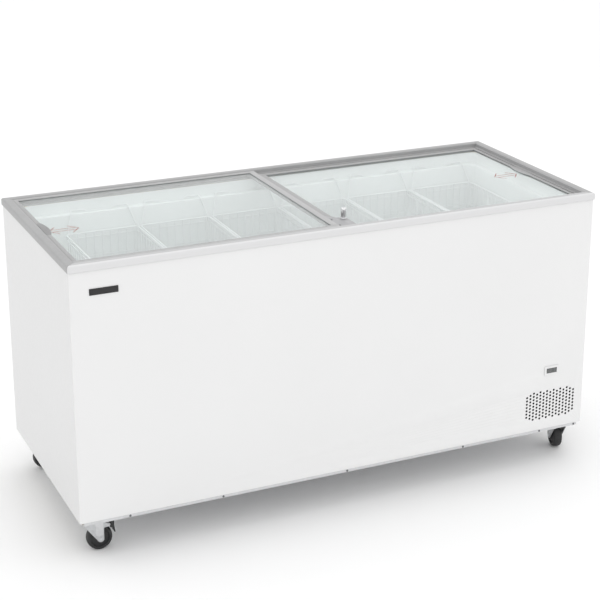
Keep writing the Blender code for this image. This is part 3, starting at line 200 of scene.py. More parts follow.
FINISHES = {
    "front_enamel": dict(colour=(0.80, 0.80, 0.80), rough=0.42, vary=0.012, mottle=2.5, fine=900, bump=0.06,
        coat=0.10),
    # cabinet_enamel is the same white paint as front_enamel, set darker: painted shade for the side panels, which
    # take less light than the front.
    "cabinet_enamel": dict(colour=(0.715, 0.715, 0.715), rough=0.46, vary=0.014, mottle=2.5, fine=900,
        bump=0.06, coat=0.08),
    "galvanised": dict(colour=(0.60, 0.61, 0.62), rough=0.36, metal=0.80, vary=0.10, mottle=40, fine=500,
        bump=0.12, spangle=0.35, wear=0.5, wear_colour=(0.75, 0.75, 0.76)),
    "liner_enamel": dict(colour=(0.86, 0.885, 0.88), rough=0.33, vary=0.012, mottle=2.0, fine=800,
        bump=0.05, coat=0.15),
    "foam": dict(colour=(0.85, 0.75, 0.45), rough=0.92, vary=0.15, mottle=25, fine=420, bump=0.6,
        depth=0.001),
    # front_rail is painted lighter than rail_land, the top flats of the same extrusion, for the light and
    # reflection its face catches from the front: painted light.
    "front_rail": dict(colour=(0.70, 0.70, 0.705), rough=0.34, metal=0.15, vary=0.02, mottle=6,
        grain=(0.02, 1, 1), fine=1500, bump=0.08, depth=0.0001, coat=0.10),
    "rail_land": dict(colour=(0.50, 0.50, 0.505), rough=0.42, metal=0.15, vary=0.03, mottle=6,
        grain=(0.02, 1, 1), fine=1500, bump=0.08, depth=0.0001),
    "grey_profile": dict(colour=(0.36, 0.36, 0.362), rough=0.42, vary=0.05, mottle=7, fine=1300, bump=0.10,
        depth=0.0001),
    "grey_light": dict(colour=(0.43, 0.43, 0.432), rough=0.40, vary=0.04, mottle=7, fine=1300, bump=0.08,
        depth=0.0001),
    # grey_dark is a darker copy of the pull's grey for the left lid's pull: painted shade.
    "grey_dark": dict(colour=(0.25, 0.25, 0.252), rough=0.45, vary=0.05, mottle=9, fine=1300, bump=0.10,
        depth=0.0001),
    "lock_plate_steel": dict(colour=(0.42, 0.42, 0.43), rough=0.36, metal=0.55, vary=0.06, mottle=30,
        grain=(1, 0.05, 1), fine=1400, bump=0.08, depth=0.0001),
    "chrome": dict(colour=(0.80, 0.80, 0.81), rough=0.10, metal=1.0, vary=0.04, mottle=60, fine=1200,
        bump=0.03, depth=0.0001, rough_spread=0.04),
    "basket_coating": dict(colour=(0.83, 0.845, 0.85), rough=0.34, vary=0.03, mottle=30, fine=900,
        bump=0.10, coat=0.20),
    "tyre_rubber": dict(colour=(0.018, 0.018, 0.019), rough=0.52, vary=0.25, mottle=60, fine=900, bump=0.20,
        rough_spread=0.12, wear=0.25, wear_colour=(0.07, 0.07, 0.07)),
    "black_plastic": dict(colour=(0.015, 0.015, 0.016), rough=0.40, vary=0.2, mottle=40, fine=1100,
        bump=0.15, rough_spread=0.08),
    "white_plastic": dict(colour=(0.80, 0.80, 0.80), rough=0.38, vary=0.02, mottle=30, fine=1300,
        bump=0.10),
    "display": dict(colour=(0.085, 0.09, 0.092), rough=0.16, vary=0.10, mottle=90, fine=600, bump=0.02,
        coat=0.6),
    "display_area": dict(colour=(0.14, 0.145, 0.145), rough=0.22, vary=0.10, mottle=90, fine=600,
        bump=0.02),
    # condenser_black is black to paint the shade seen through the vent holes onto the condenser fins and tubes:
    # painted shade.
    "condenser_black": dict(colour=(0.012, 0.012, 0.012), rough=0.55, vary=0.3, mottle=50, fine=900),
    "black_enamel": dict(colour=(0.02, 0.02, 0.02), rough=0.30, vary=0.2, mottle=30, fine=700, bump=0.10,
        coat=0.4),
    "copper": dict(colour=(0.72, 0.40, 0.26), rough=0.30, metal=1.0, vary=0.18, mottle=45, fine=700),
    "black_rubber": dict(colour=(0.03, 0.03, 0.03), rough=0.62, vary=0.2, mottle=50, fine=900, bump=0.2),
    "screw": dict(colour=(0.16, 0.16, 0.165), rough=0.35, metal=0.7, vary=0.15, mottle=200, fine=1500),
    "mark_red": dict(colour=(0.36, 0.085, 0.06), rough=0.5, vary=0.10, mottle=120, fine=1200, bump=0.05),
    "floor": dict(colour=(0.955, 0.955, 0.955), rough=0.85, vary=0.004, mottle=0.6, fine=150, bump=0.02),
}
LOOKS = {name: finish(name, **values) for name, values in FINISHES.items()}
LOOKS["lid_glass"] = glass_finish()
NODE_LOOK = {row["node"]: row["material_slot"] for row in frame["record"]["subparts"]}


# ---- mesh helpers ---------------------------------------------------------------------------------
def piece(name, bm, look, body, replaces=(), angle=35.0, second=None):
    """Finish a bmesh as a named piece that rides on a body."""
    bmesh.ops.remove_doubles(bm, verts=bm.verts[:], dist=1e-6)
    bmesh.ops.recalc_face_normals(bm, faces=bm.faces[:])
    mesh = bpy.data.meshes.new(name)
    bm.to_mesh(mesh)
    bm.free()
    mesh.materials.append(LOOKS[look])
    if second:
        mesh.materials.append(LOOKS[second])
    return place(name, mesh, body, replaces, angle)


def place(name, mesh, body, replaces=(), angle=35.0, at=None):
    item = bpy.data.objects.new(name, mesh)
    bpy.context.scene.collection.objects.link(item)
    mesh.shade_smooth()
    mesh.set_sharp_from_angle(angle=math.radians(angle))
    if at is not None:
        item.matrix_world = at
    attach(item, body)
    if replaces:
        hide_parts(*replaces)
    return item


def arc(cx, cy, radius, start, end, steps):
    angles = [math.radians(start + (end - start) * k / steps) for k in range(steps + 1)]
    return [(cx + radius * math.cos(a), cy + radius * math.sin(a)) for a in angles]


def fillet(points, radius, steps=4, closed=True):
    """Round the corners of a 2D or 3D polyline."""
    points = [Vector(p) for p in points]
    count, out = len(points), []
    for k, here in enumerate(points):
        if not closed and k in (0, count - 1):
            out.append(here)
            continue
        r = radius[k] if isinstance(radius, (list, tuple)) else radius
        before, after = points[k - 1] - here, points[(k + 1) % count] - here
        if r <= 0 or before.length < 1e-9 or after.length < 1e-9:
            out.append(here)
            continue
        half = before.angle(after) / 2
        if half > math.radians(88):
            out.append(here)
            continue
        reach = min(r / math.tan(half), 0.49 * before.length, 0.49 * after.length)
        r = reach * math.tan(half)
        a, b = before.normalized(), after.normalized()
        centre = here + (a + b).normalized() * (r / math.sin(half))
        start, end = here + a * reach - centre, here + b * reach - centre
        turn = start.angle(end)
        for s in range(steps + 1):
            t = s / steps
            out.append(centre + (start * math.sin((1 - t) * turn) + end * math.sin(t * turn)) / math.sin(turn))
    return out


def rounded(half_x, half_y, radius, steps=5):
    out = []
    for quarter, (sx, sy) in enumerate([(1, 1), (-1, 1), (-1, -1), (1, -1)]):
        out += arc(sx * (half_x - radius), sy * (half_y - radius), radius, 90 * quarter, 90 * quarter + 90,
                   steps)
    return out


def loft(bm, rings, cap=True, close=False):
    """Join rings of equally many 3D points; cap the two ends or close the last ring to the first."""
    made = [[bm.verts.new(p) for p in ring] for ring in rings]
    pairs = list(zip(made, made[1:])) + ([(made[-1], made[0])] if close else [])
    for low, high in pairs:
        for k in range(len(low)):
            bm.faces.new((low[k - 1], low[k], high[k], high[k - 1]))
    if cap and not close:
        bm.faces.new(made[0][::-1])
        bm.faces.new(made[-1])
    return made


def slab(bm, outline, low, high, bevel=0.0, matrix=None, steps=2):
    """A flat outline between two heights with rounded rims, in local XY."""
    flat = [Vector((p[0], p[1])) for p in outline]
    area = sum(a.x * b.y - b.x * a.y for a, b in zip(flat, flat[1:] + flat[:1]))
    if area < 0:
        flat.reverse()
    count = len(flat)
    inward = []
    for k in range(count):
        along = (flat[(k + 1) % count] - flat[k - 1])
        along = along.normalized() if along.length > 1e-9 else Vector((1, 0))
        inward.append(Vector((-along.y, along.x)))
    levels = []
    if bevel:
        for s in range(steps + 1):
            a = math.radians(90 * s / steps)
            levels.append((bevel * (1 - math.sin(a)), low + bevel * (1 - math.cos(a))))
        for s in range(steps + 1):
            a = math.radians(90 * s / steps)
            levels.append((bevel * (1 - math.cos(a)), high - bevel * (1 - math.sin(a))))
    else:
        levels = [(0, low), (0, high)]
    rings = []
    for inset, z in levels:
        ring = [Vector((p.x + n.x * inset, p.y + n.y * inset, z)) for p, n in zip(flat, inward)]
        rings.append([matrix @ p if matrix else p for p in ring])
    loft(bm, rings)


def lathe(bm, profile, sides=48, matrix=None):
    """Spin (radius, height) points about local Z; a radius of 0 closes the end."""
    rings = []
    for radius, height in profile:
        r = max(radius, 1e-7)
        ring = [Vector((r * math.cos(2 * math.pi * k / sides), r * math.sin(2 * math.pi * k / sides), height))
                for k in range(sides)]
        rings.append([matrix @ p if matrix else p for p in ring])
    loft(bm, rings, cap=profile[0][0] <= 0 or profile[0] != profile[-1], close=profile[0] == profile[-1])


def tube(bm, points, radius, sides=8, closed=False):
    """A round wire along 3D points."""
    points = [Vector(p) for p in points]
    count = len(points)
    rings, normal = [], None
    for k, here in enumerate(points):
        if closed:
            along = points[(k + 1) % count] - points[k - 1]
        else:
            along = points[min(k + 1, count - 1)] - points[max(k - 1, 0)]
        along.normalize()
        if normal is None:
            helper = UP if abs(along.z) < 0.9 else Vector((1, 0, 0))
            normal = along.cross(helper).normalized()
        else:
            normal = (normal - along * normal.dot(along)).normalized()
        other = along.cross(normal)
        rings.append([here + radius * (math.cos(2 * math.pi * s / sides) * normal
                                       + math.sin(2 * math.pi * s / sides) * other) for s in range(sides)])
    if closed:
        first, last = rings[0], rings[-1]
        shift = min(range(sides),
                    key=lambda d: sum((last[s] - first[(s + d) % sides]).length for s in range(sides)))
        rings.append([first[(s + shift) % sides] for s in range(sides)])
        loft(bm, rings, cap=False)
    else:
        loft(bm, rings)


def block(bm, low, high, bevel=0.0005, steps=2):
    """A box with rounded edges."""
    low, high = Vector(low), Vector(high)
    size = high - low
    part = bmesh.new()
    bmesh.ops.create_cube(part, size=1.0)
    for vert in part.verts:
        vert.co = Vector((vert.co.x * size.x, vert.co.y * size.y, vert.co.z * size.z)) + (low + high) / 2
    if bevel:
        bmesh.ops.bevel(part, geom=part.edges[:], offset=min(bevel, 0.45 * min(size)), segments=steps,
                        profile=0.5,
                        affect="EDGES")
    add_mesh(bm, part)


def add_mesh(bm, part, matrix=None):
    """Copy a bmesh into another and free it."""
    if matrix:
        part.transform(matrix)
    holder = bpy.data.meshes.new("holder")
    part.to_mesh(holder)
    part.free()
    bm.from_mesh(holder)
    bpy.data.meshes.remove(holder)


def facing(point, normal, spin=0.0):
    """Matrix with local +Z along normal at a point."""
    normal = Vector(normal).normalized()
    side = (UP if abs(normal.z) < 0.9 else Vector((0, 1, 0))).cross(normal).normalized()
    turn = Matrix((side, normal.cross(side), normal)).transposed().to_4x4()
    return Matrix.Translation(point) @ turn @ Matrix.Rotation(spin, 4, "Z")


def pan_screw(bm, point, normal, radius=0.0030, height=0.0014, spin=0.3):
    """Pan head screw with a round recess in its head, standing on a surface."""
    at = facing(point, normal, spin)
    lathe(bm, [(0, -0.0004), (radius, -0.0004), (radius, 0.35 * height), (0.86 * radius, 0.75 * height),
               (0.5 * radius, height), (0.42 * radius, height), (0.36 * radius, 0.45 * height),
               (0, 0.4 * height)],
          20, at)


def hex_head(bm, point, normal, width=0.010, height=0.0035, spin=0.2):
    at = facing(point, normal, spin)
    ring = [(width / 2 * math.cos(math.radians(60 * k)), width / 2 * math.sin(math.radians(60 * k)))
            for k in range(6)]
    slab(bm, ring, 0.0, height, 0.0006, at)
    lathe(bm, [(0, -0.0002), (0.62 * width, -0.0002), (0.62 * width, 0.0009), (0, 0.0009)], 24, at)


# ---- cabinet --------------------------------------------------------------------------------------
VENT_AT = (HALF_L - 0.1067, BODY_Z + 0.075)
VENT_PITCH = (0.0110, 0.0101)


def vent_holes():
    out = []
    for column in range(15):
        count = 7 if column in (0, 14) else 9 if column % 2 == 0 else 8
        for row in range(count):
            out.append((VENT_AT[0] + (column - 7) * VENT_PITCH[0],
                        VENT_AT[1] + (row - (count - 1) / 2) * VENT_PITCH[1]))
    return out


def sheet_with_holes(name, outline, holes, thickness, rim, matrix):
    """A sheet with rounded rims cut by closed outlines, in local XY with its middle at z 0."""
    curve = bpy.data.curves.new(name, "CURVE")
    curve.dimensions = "2D"
    curve.fill_mode = "BOTH"
    curve.extrude = thickness / 2 - rim
    curve.bevel_depth = rim
    curve.bevel_resolution = 1
    curve.offset = -rim
    for ring in [outline, *holes]:
        spline = curve.splines.new("POLY")
        spline.points.add(len(ring) - 1)
        for point, (x, y) in zip(spline.points, ring):
            point.co = (x, y, 0.0, 1.0)
        spline.use_cyclic_u = True
    item = bpy.data.objects.new(name, curve)
    bpy.context.scene.collection.objects.link(item)
    bpy.context.view_layer.update()
    mesh = bpy.data.meshes.new_from_object(item.evaluated_get(bpy.context.evaluated_depsgraph_get()))
    bpy.data.objects.remove(item, do_unlink=True)
    bpy.data.curves.remove(curve)
    bm = bmesh.new()
    bm.from_mesh(mesh)
    bpy.data.meshes.remove(mesh)
    bm.transform(matrix)
    return bm


def front_panel():
    low, high = FRONT
    cx, cz = (low.x + high.x) / 2, (low.z + high.z) / 2
    thickness = high.y - low.y
    outline = rounded(HALF_L, (high.z - low.z) / 2, 0.0012, 2)
    rings = [[(x - cx, z - cz) for x, z in arc(hx, hz, 0.0034, 0, 345, 15)] for hx, hz in vent_holes()]
    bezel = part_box("thermometer_bezel")
    tx, tz = (bezel[0].x + bezel[1].x) / 2 - cx, (bezel[0].z + bezel[1].z) / 2 - cz
    rings.append([(tx - 0.020, tz - 0.0105), (tx + 0.020, tz - 0.0105), (tx + 0.020, tz + 0.0105),
                  (tx - 0.020, tz + 0.0105)])
    matrix = Matrix.Translation((cx, (low.y + high.y) / 2, cz)) @ Matrix.Rotation(math.radians(90), 4, "X")
    bm = sheet_with_holes("front_panel_sheet", outline, rings, thickness, 0.00025, matrix)
    piece("front_panel_sheet", bm, "front_enamel", "cabinet", ["front_panel"], 40)


def tray_screws():
    bm = bmesh.new()
    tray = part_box("base_tray")
    for x in (-0.6155, -0.36, 0.0, 0.36, 0.6105, 0.7265):
        pan_screw(bm, (x, tray[0].y, tray[0].z + 0.0036), (0, -1, 0), 0.0030, 0.0016)
    for x in (-0.60, -0.20, 0.20, 0.60):
        pan_screw(bm, (x, tray[1].y, tray[0].z + 0.0036), (0, 1, 0), 0.0030, 0.0016)
    piece("tray_screws", bm, "screw", "cabinet")


def rear_details():
    """Louvre hoods, corner screws and the dial ring of the service cover, and the rear panel's rivets."""
    low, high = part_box("rear_cover")
    face = high.y
    hoods = bmesh.new()
    opening = (low.x + 0.012, high.x - 0.012)
    for row in range(7):
        z = low.z + 0.012 + 0.018 + row * 0.014
        x0, x1 = opening[0] + 0.020, opening[1] - 0.055
        section = [(face - 0.0002, z + 0.0062), (face + 0.0008, z + 0.0060), (face + 0.0022, z + 0.0042),
                   (face + 0.0024, z + 0.0022), (face + 0.0018, z + 0.0022), (face + 0.0014, z + 0.0038),
                   (face - 0.0002, z + 0.0050)]
        rings = []
        for x, lift in ((x0 - 0.002, 0.05), (x0, 0.6), (x0 + 0.003, 1.0), (x1 - 0.003, 1.0), (x1, 0.6),
                        (x1 + 0.002, 0.05)):
            rings.append([Vector((x, face + (y - face) * lift, zz)) for y, zz in section])
        loft(hoods, rings)
    # The hoods take cabinet_enamel, the darker painted-shade copy of the cabinet's white paint.
    piece("cover_louvres", hoods, "cabinet_enamel", "cabinet", angle=50)
    screws = bmesh.new()
    for x in (low.x + 0.006, high.x - 0.006):
        for z in (low.z + 0.006, high.z - 0.006):
            pan_screw(screws, (x, face, z), (0, 1, 0), 0.0032, 0.0018, x)
    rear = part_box("rear_panel")
    for x in (rear[0].x + 0.012, -0.35, 0.0, 0.35, rear[1].x - 0.012):
        for z in (rear[0].z + 0.010, rear[1].z - 0.030):
            pan_screw(screws, (x, rear[1].y, z), (0, 1, 0), 0.0028, 0.0015, x)
    piece("rear_screws", screws, "screw", "cabinet")
    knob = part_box("thermostat_knob")
    x, z = (knob[0].x + knob[1].x) / 2, (knob[0].z + knob[1].z) / 2
    ring = bmesh.new()
    lathe(ring, [(0.0125, 0.0), (0.0145, 0.0), (0.0145, 0.0007), (0.0140, 0.0011), (0.0130, 0.0011),
                 (0.0125, 0.0007), (0.0125, 0.0)], 40, facing((x, face, z), (0, 1, 0)))
    for k in range(7):
        a = math.radians(-135 + 45 * k)
        spoke = Matrix.Translation((x, face, z)) @ Matrix.Rotation(a, 4, "Y")
        part = bmesh.new()
        block(part, (-0.0004, 0.0, 0.0160), (0.0004, 0.0006, 0.0190 + 0.0002 * k), 0.0002)
        add_mesh(ring, part, spoke)
    piece("dial_ring", ring, "black_plastic", "cabinet")


def liner():
    """The white inner liner with round corners, a ledge for the baskets and the machine step."""
    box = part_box("inner_liner")
    top, floor = box[1].z, box[0].z + 0.0012
    half_l, half_d = HALF_L - LINER_UPPER, -FACE_Y - LINER_UPPER
    lower_l, lower_d = HALF_L - LINER_LOWER, -FACE_Y - LINER_LOWER
    ledge = TOP_Z - LEDGE_DROP
    steps = 12

    def ring(hx, hy, r, z):
        return [Vector((x, y, z)) for x, y in rounded(hx, hy, r, steps)]

    bm = bmesh.new()
    rings = [ring(half_l, half_d, 0.030, top)]
    for k in range(5):
        a = math.radians(90 * k / 4)
        rings.append(ring(half_l - 0.003 * (1 - math.cos(a)), half_d - 0.003 * (1 - math.cos(a)), 0.029,
                          ledge + 0.003 * (1 - math.sin(a))))
    for k in range(5):
        a = math.radians(90 * k / 4)
        inset = 0.0025 * (1 - math.sin(a))
        rings.append(ring(lower_l + inset, lower_d + inset, 0.030, ledge - 0.0025 * (1 - math.cos(a))))
    rings.append(ring(lower_l, lower_d, 0.030, floor + 0.012))
    for k in range(1, 6):
        a = math.radians(90 * k / 5)
        inset = 0.012 * (1 - math.cos(a))
        rings.append(ring(lower_l - inset, lower_d - inset, 0.030 - inset * 0.8,
                          floor + 0.012 * (1 - math.sin(a))))
    made = [[bm.verts.new(p) for p in r] for r in rings]
    for a, b in zip(made, made[1:]):
        for k in range(len(a)):
            bm.faces.new((a[k - 1], a[k], b[k], b[k - 1]))
    bm.faces.new(made[-1])
    bmesh.ops.recalc_face_normals(bm, faces=bm.faces[:])
    bmesh.ops.reverse_faces(bm, faces=bm.faces[:])
    bmesh.ops.solidify(bm, geom=bm.faces[:], thickness=-0.0010)
    step_x, step_z = 0.4015, 0.388
    profile = [(step_x, floor - 0.0005)]
    profile += [(x, z) for x, z in arc(step_x + 0.010, step_z - 0.010, 0.010, 180, 90, 6)]
    profile += [(lower_l + 0.0006, step_z), (lower_l + 0.0006, step_z - 0.001),
                (step_x + 0.010, step_z - 0.001)]
    profile += [(step_x + 0.001, step_z - 0.010), (step_x + 0.001, floor - 0.0005)]
    loft(bm, [[Vector((x, y, z)) for x, z in profile] for y in (-lower_d - 0.0006, lower_d + 0.0006)])
    piece("liner_shell", bm, "liner_enamel", "cabinet", ["inner_liner"], 50)
    x, z = -0.0393, 0.6825
    marks = [[(x - 0.0045, z + 0.004), (x, z - 0.004), (x + 0.0045, z + 0.004)],
             bar(x - 0.0170, z - 0.0035, x - 0.0112, z - 0.0035, 0.0014),
             bar(x + 0.0112, z - 0.0035, x + 0.0170, z - 0.0035, 0.0014)]
    decal("load_line_mark", marks, lower_d - 0.0002, "mark_red", "cabinet", False)


def decal(name, shapes, z_or_y, look, body, flat=True):
    """Thin printed shapes on glass (flat) or on the rear liner wall."""
    bm = bmesh.new()
    for outline in shapes:
        if flat:
            slab(bm, outline, z_or_y, z_or_y + 0.00008)
        else:
            matrix = Matrix.Translation((0, z_or_y, 0)) @ Matrix.Rotation(math.radians(90), 4, "X")
            slab(bm, outline, 0.0, 0.00012, 0.0, matrix)
    piece(name, bm, look, body)


def bar(x0, y0, x1, y1, width):
    a, b = Vector((x0, y0)), Vector((x1, y1))
    n = Vector((a.y - b.y, b.x - a.x)).normalized() * width / 2
    return [a + n, a - n, b - n, b + n]


def slide_arrow(x0, x1, y, half=0.0080, head=0.022, wide=0.028, pen=0.0022):
    """Outline of a double-headed arrow, as separate pen strokes."""
    inner = head * half / wide
    out = [bar(x0 + inner, y + side * half, x1 - inner, y + side * half, pen) for side in (-1, 1)]
    for tip, neck in ((x0, x0 + head), (x1, x1 - head)):
        for side in (-1, 1):
            out.append(bar(tip, y, neck, y + side * wide, pen))
    return out


# ---- top frame ------------------------------------------------------------------------------------
def rail_section():
    """(depth, drop) points of the frame with rounded edges and a drip groove low on its face."""
    points = [(0.0010, -0.0195), (0.0003, -0.0183), (0.0003, -0.0172), (0.0, -0.0166)]
    points += arc(0.006, -0.006, 0.006, 180, 90, 12)
    sharp = [(0.0190, 0.0), (0.0204, -0.0012), (0.0245, -0.0012), (0.0245, -0.0106), (0.0325, -0.0106),
             (0.0325, -0.0206), (0.0410, -0.0206), (0.0410, -0.0235), (0.0300, -0.0235), (0.0300, -0.0131),
             (0.0220, -0.0131), (0.0220, -0.0037), (0.0026, -0.0037), (0.0026, -0.0195)]
    radii = [0.0006, 0.0008, 0.0006, 0.0006, 0.0008, 0.0006, 0.0010, 0.0006, 0, 0, 0, 0, 0, 0]
    inner = fillet([(0.006, 0.0)] + sharp + [(0.0010, -0.0195)], [0, *radii, 0], 3, closed=False)
    return points[:-1] + [(p.x, p.y) for p in inner[:-1]]


def top_rail(name, length, at, turn, look, land=None):
    section = rail_section()
    half = length / 2 - GAP
    bm = bmesh.new()
    rings = []
    for x in (-half, half):
        rings.append([Vector((x - math.copysign(depth, x), depth, drop)) for depth, drop in section])
    loft(bm, rings)
    bmesh.ops.recalc_face_normals(bm, faces=bm.faces[:])
    # Top flats take rail_land; the rest keeps front_rail, painted lighter for the light its face catches from the
    # front.
    if land:
        for face in bm.faces:
            middle = face.calc_center_median()
            if middle.y > 0.0062 and middle.z < 0.0001 and len(face.verts) == 4:
                face.material_index = 1
    bm.transform(Matrix.Translation(at) @ Matrix.Rotation(math.radians(turn), 4, "Z"))
    piece(name + "_profile", bm, look, "cabinet", [name], 25, land)


def top_frame():
    top_rail("top_rail_front", 2 * FRAME_X, (0, -FRAME_Y, TOP_Z), 0, "front_rail", "rail_land")
    top_rail("top_rail_back", 2 * FRAME_X, (0, FRAME_Y, TOP_Z), 180, "grey_profile")
    top_rail("top_rail_left", 2 * FRAME_Y, (-FRAME_X, 0, TOP_Z), -90, "grey_profile")
    top_rail("top_rail_right", 2 * FRAME_Y, (FRAME_X, 0, TOP_Z), 90, "grey_profile")


# ---- lids -----------------------------------------------------------------------------------------
def bar_section(width, thick, rib=0.0):
    """Slotted lid bar: width by thickness, rounded edges, the glass slot on its +X side."""
    middle, slot, bite = thick / 2, 0.0023, width - 0.0073
    sharp = [(0, 0), (width, 0), (width, middle - slot), (bite, middle - slot), (bite, middle + slot),
             (width, middle + slot), (width, thick), (0, thick)]
    radii = [0.0008, 0.0006, 0.0003, 0, 0, 0.0003, 0.0012, 0.0016]
    if rib:
        sharp[7:7] = [(width - rib, thick), (width - rib, thick - 0.0008),
                      (width - rib - 0.0014, thick - 0.0008),
                      (width - rib - 0.0014, thick)]
        radii[7:7] = [0.0003, 0.0002, 0.0002, 0.0003]
    return [(p.x, p.y) for p in fillet(sharp, radii, 3)]


def lid_bar(name, side_towards, rib=0.0):
    """Rebuild a lid bar from its CAD box; side_towards is the unit vector of its slotted side."""
    low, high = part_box(name)
    side = Vector(side_towards)
    along = Vector((1, 0, 0)) if abs(side.y) > 0.5 else Vector((0, 1, 0))
    width = END_BAR_WIDTH if "end_grip" in name else abs((high - low).dot(side))
    length = abs((high - low).dot(along))
    origin = Vector((high.x if side.x < -0.5 else low.x, high.y if side.y < -0.5 else low.y, low.z))
    if name == "right_lid_end_grip":
        origin.x = high.x - GRIP_BACK
    section = bar_section(width, LID_THICKNESS, rib)
    bm = bmesh.new()
    loft(bm, [[origin + side * x + UP * z + along * s for x, z in section] for s in (0.0, length)])
    return bm


def grip(x, towards, z_low, z_top, back):
    """Raised lens-shaped finger pull on the end bar."""
    half, reach, width = 0.053, 0.009, END_BAR_WIDTH
    radius = (half ** 2 + reach ** 2) / (2 * reach)
    spread = math.degrees(math.asin(half / radius))
    front = arc(reach - radius, 0.0, radius, -spread, spread, 24)
    rear = [(-width + 0.0012, half), (-width - back + 0.0001, 0.7 * half),
            (-width - back + 0.0001, -0.7 * half),
            (-width + 0.0012, -half)]
    outline = fillet(front + rear, 0.004, 4)
    bend = Matrix.Translation((x, 0, 0)) @ Matrix.Rotation(0 if towards > 0 else math.pi, 4, "Z")
    flat = [(p.x, p.y) for p in outline]
    bm = bmesh.new()
    slab(bm, flat, z_low, z_top, 0.0007, bend, 3)
    return bm


def lids():
    for prefix, body, towards in (("left_lid", "left_lid", 1), ("right_lid", "right_lid", -1)):
        for place_name, sign in (("front", -1), ("back", 1)):
            name = f"{prefix}_runner_{place_name}"
            bm = lid_bar(name, (0, -sign, 0), 0.0045)
            piece(name + "_bar", bm, "grey_light", body, [name], 30)
        name = f"{prefix}_end_grip"
        low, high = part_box(name)
        bm = lid_bar(name, (towards, 0, 0))
        edge = low.x + END_BAR_WIDTH if towards > 0 else high.x - GRIP_BACK - END_BAR_WIDTH
        piece(name + "_bar", bm, "grey_profile", body, [name], 30)
        glass_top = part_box(f"{prefix}_glass")[1].z
        bm = grip(edge, towards, glass_top + 0.0002, high.z + GRIP_RISE, GRIP_BACK if towards < 0 else 0.0)
        # The left pull takes grey_dark, painted shade on the same pull the right lid has in grey_profile.
        piece(name + "_pull", bm, "grey_dark" if towards > 0 else "grey_profile", body)
        name = f"{prefix}_meeting_rail"
        bm = lid_bar(name, (-towards, 0, 0), 0.0 if towards > 0 else 0.020)
        piece(name + "_bar", bm, "grey_light" if towards > 0 else "grey_profile", body, [name], 30)
    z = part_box("left_lid_glass")[1].z
    decal("left_lid_arrow", slide_arrow(-0.712, -0.633, -0.019), z + 0.00004, "mark_red", "left_lid")
    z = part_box("right_lid_glass")[1].z
    decal("right_lid_arrow", slide_arrow(0.609, 0.682, -0.019), z + 0.00004, "mark_red", "right_lid")


def lock():
    low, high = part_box("lock_plate")
    span = high.y - low.y
    bm = bmesh.new()
    outline = fillet([(low.x, low.y), (high.x, low.y), (high.x, low.y + 0.55 * span), (low.x, high.y)],
                     [0.001, 0.003, 0.006, 0.001], 4)
    slab(bm, [(p.x, p.y) for p in outline], low.z, high.z, 0.0006, None, 2)
    piece("lock_plate_pressed", bm, "lock_plate_steel", "left_lid", ["lock_plate"])
    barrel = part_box("lock_barrel")
    x, y = (barrel[0].x + barrel[1].x) / 2, (barrel[0].y + barrel[1].y) / 2
    base, top = barrel[0].z, barrel[1].z
    r, bore, deep = 0.0075, 0.0048, base + 0.0207
    at = Matrix.Translation((x, y, 0))
    bm = bmesh.new()
    lathe(bm, [(0, deep), (bore, deep), (bore, top - 0.0006), (bore + 0.0004, top), (r - 0.0012, top),
               (r - 0.0003, top - 0.0006), (r, top - 0.0016), (r, top - 0.0042), (r - 0.0005, top - 0.0047),
               (r - 0.0005, top - 0.0056), (r, top - 0.0061), (r, base + 0.0050), (r - 0.0004, base + 0.0044),
               (r - 0.0004, base + 0.0034), (r + 0.0008, base + 0.0026), (r + 0.0008, base), (0, base)], 48,
               at)
    piece("lock_barrel_turned", bm, "chrome", "left_lid", ["lock_barrel"], 30)
    screws = bmesh.new()
    for sx, sy in ((0.010, 0.012), (0.010, 0.062)):
        pan_screw(screws, (low.x + sx, low.y + sy, high.z), (0, 0, 1), 0.0026, 0.0012)
    piece("lock_screws", screws, "screw", "left_lid")


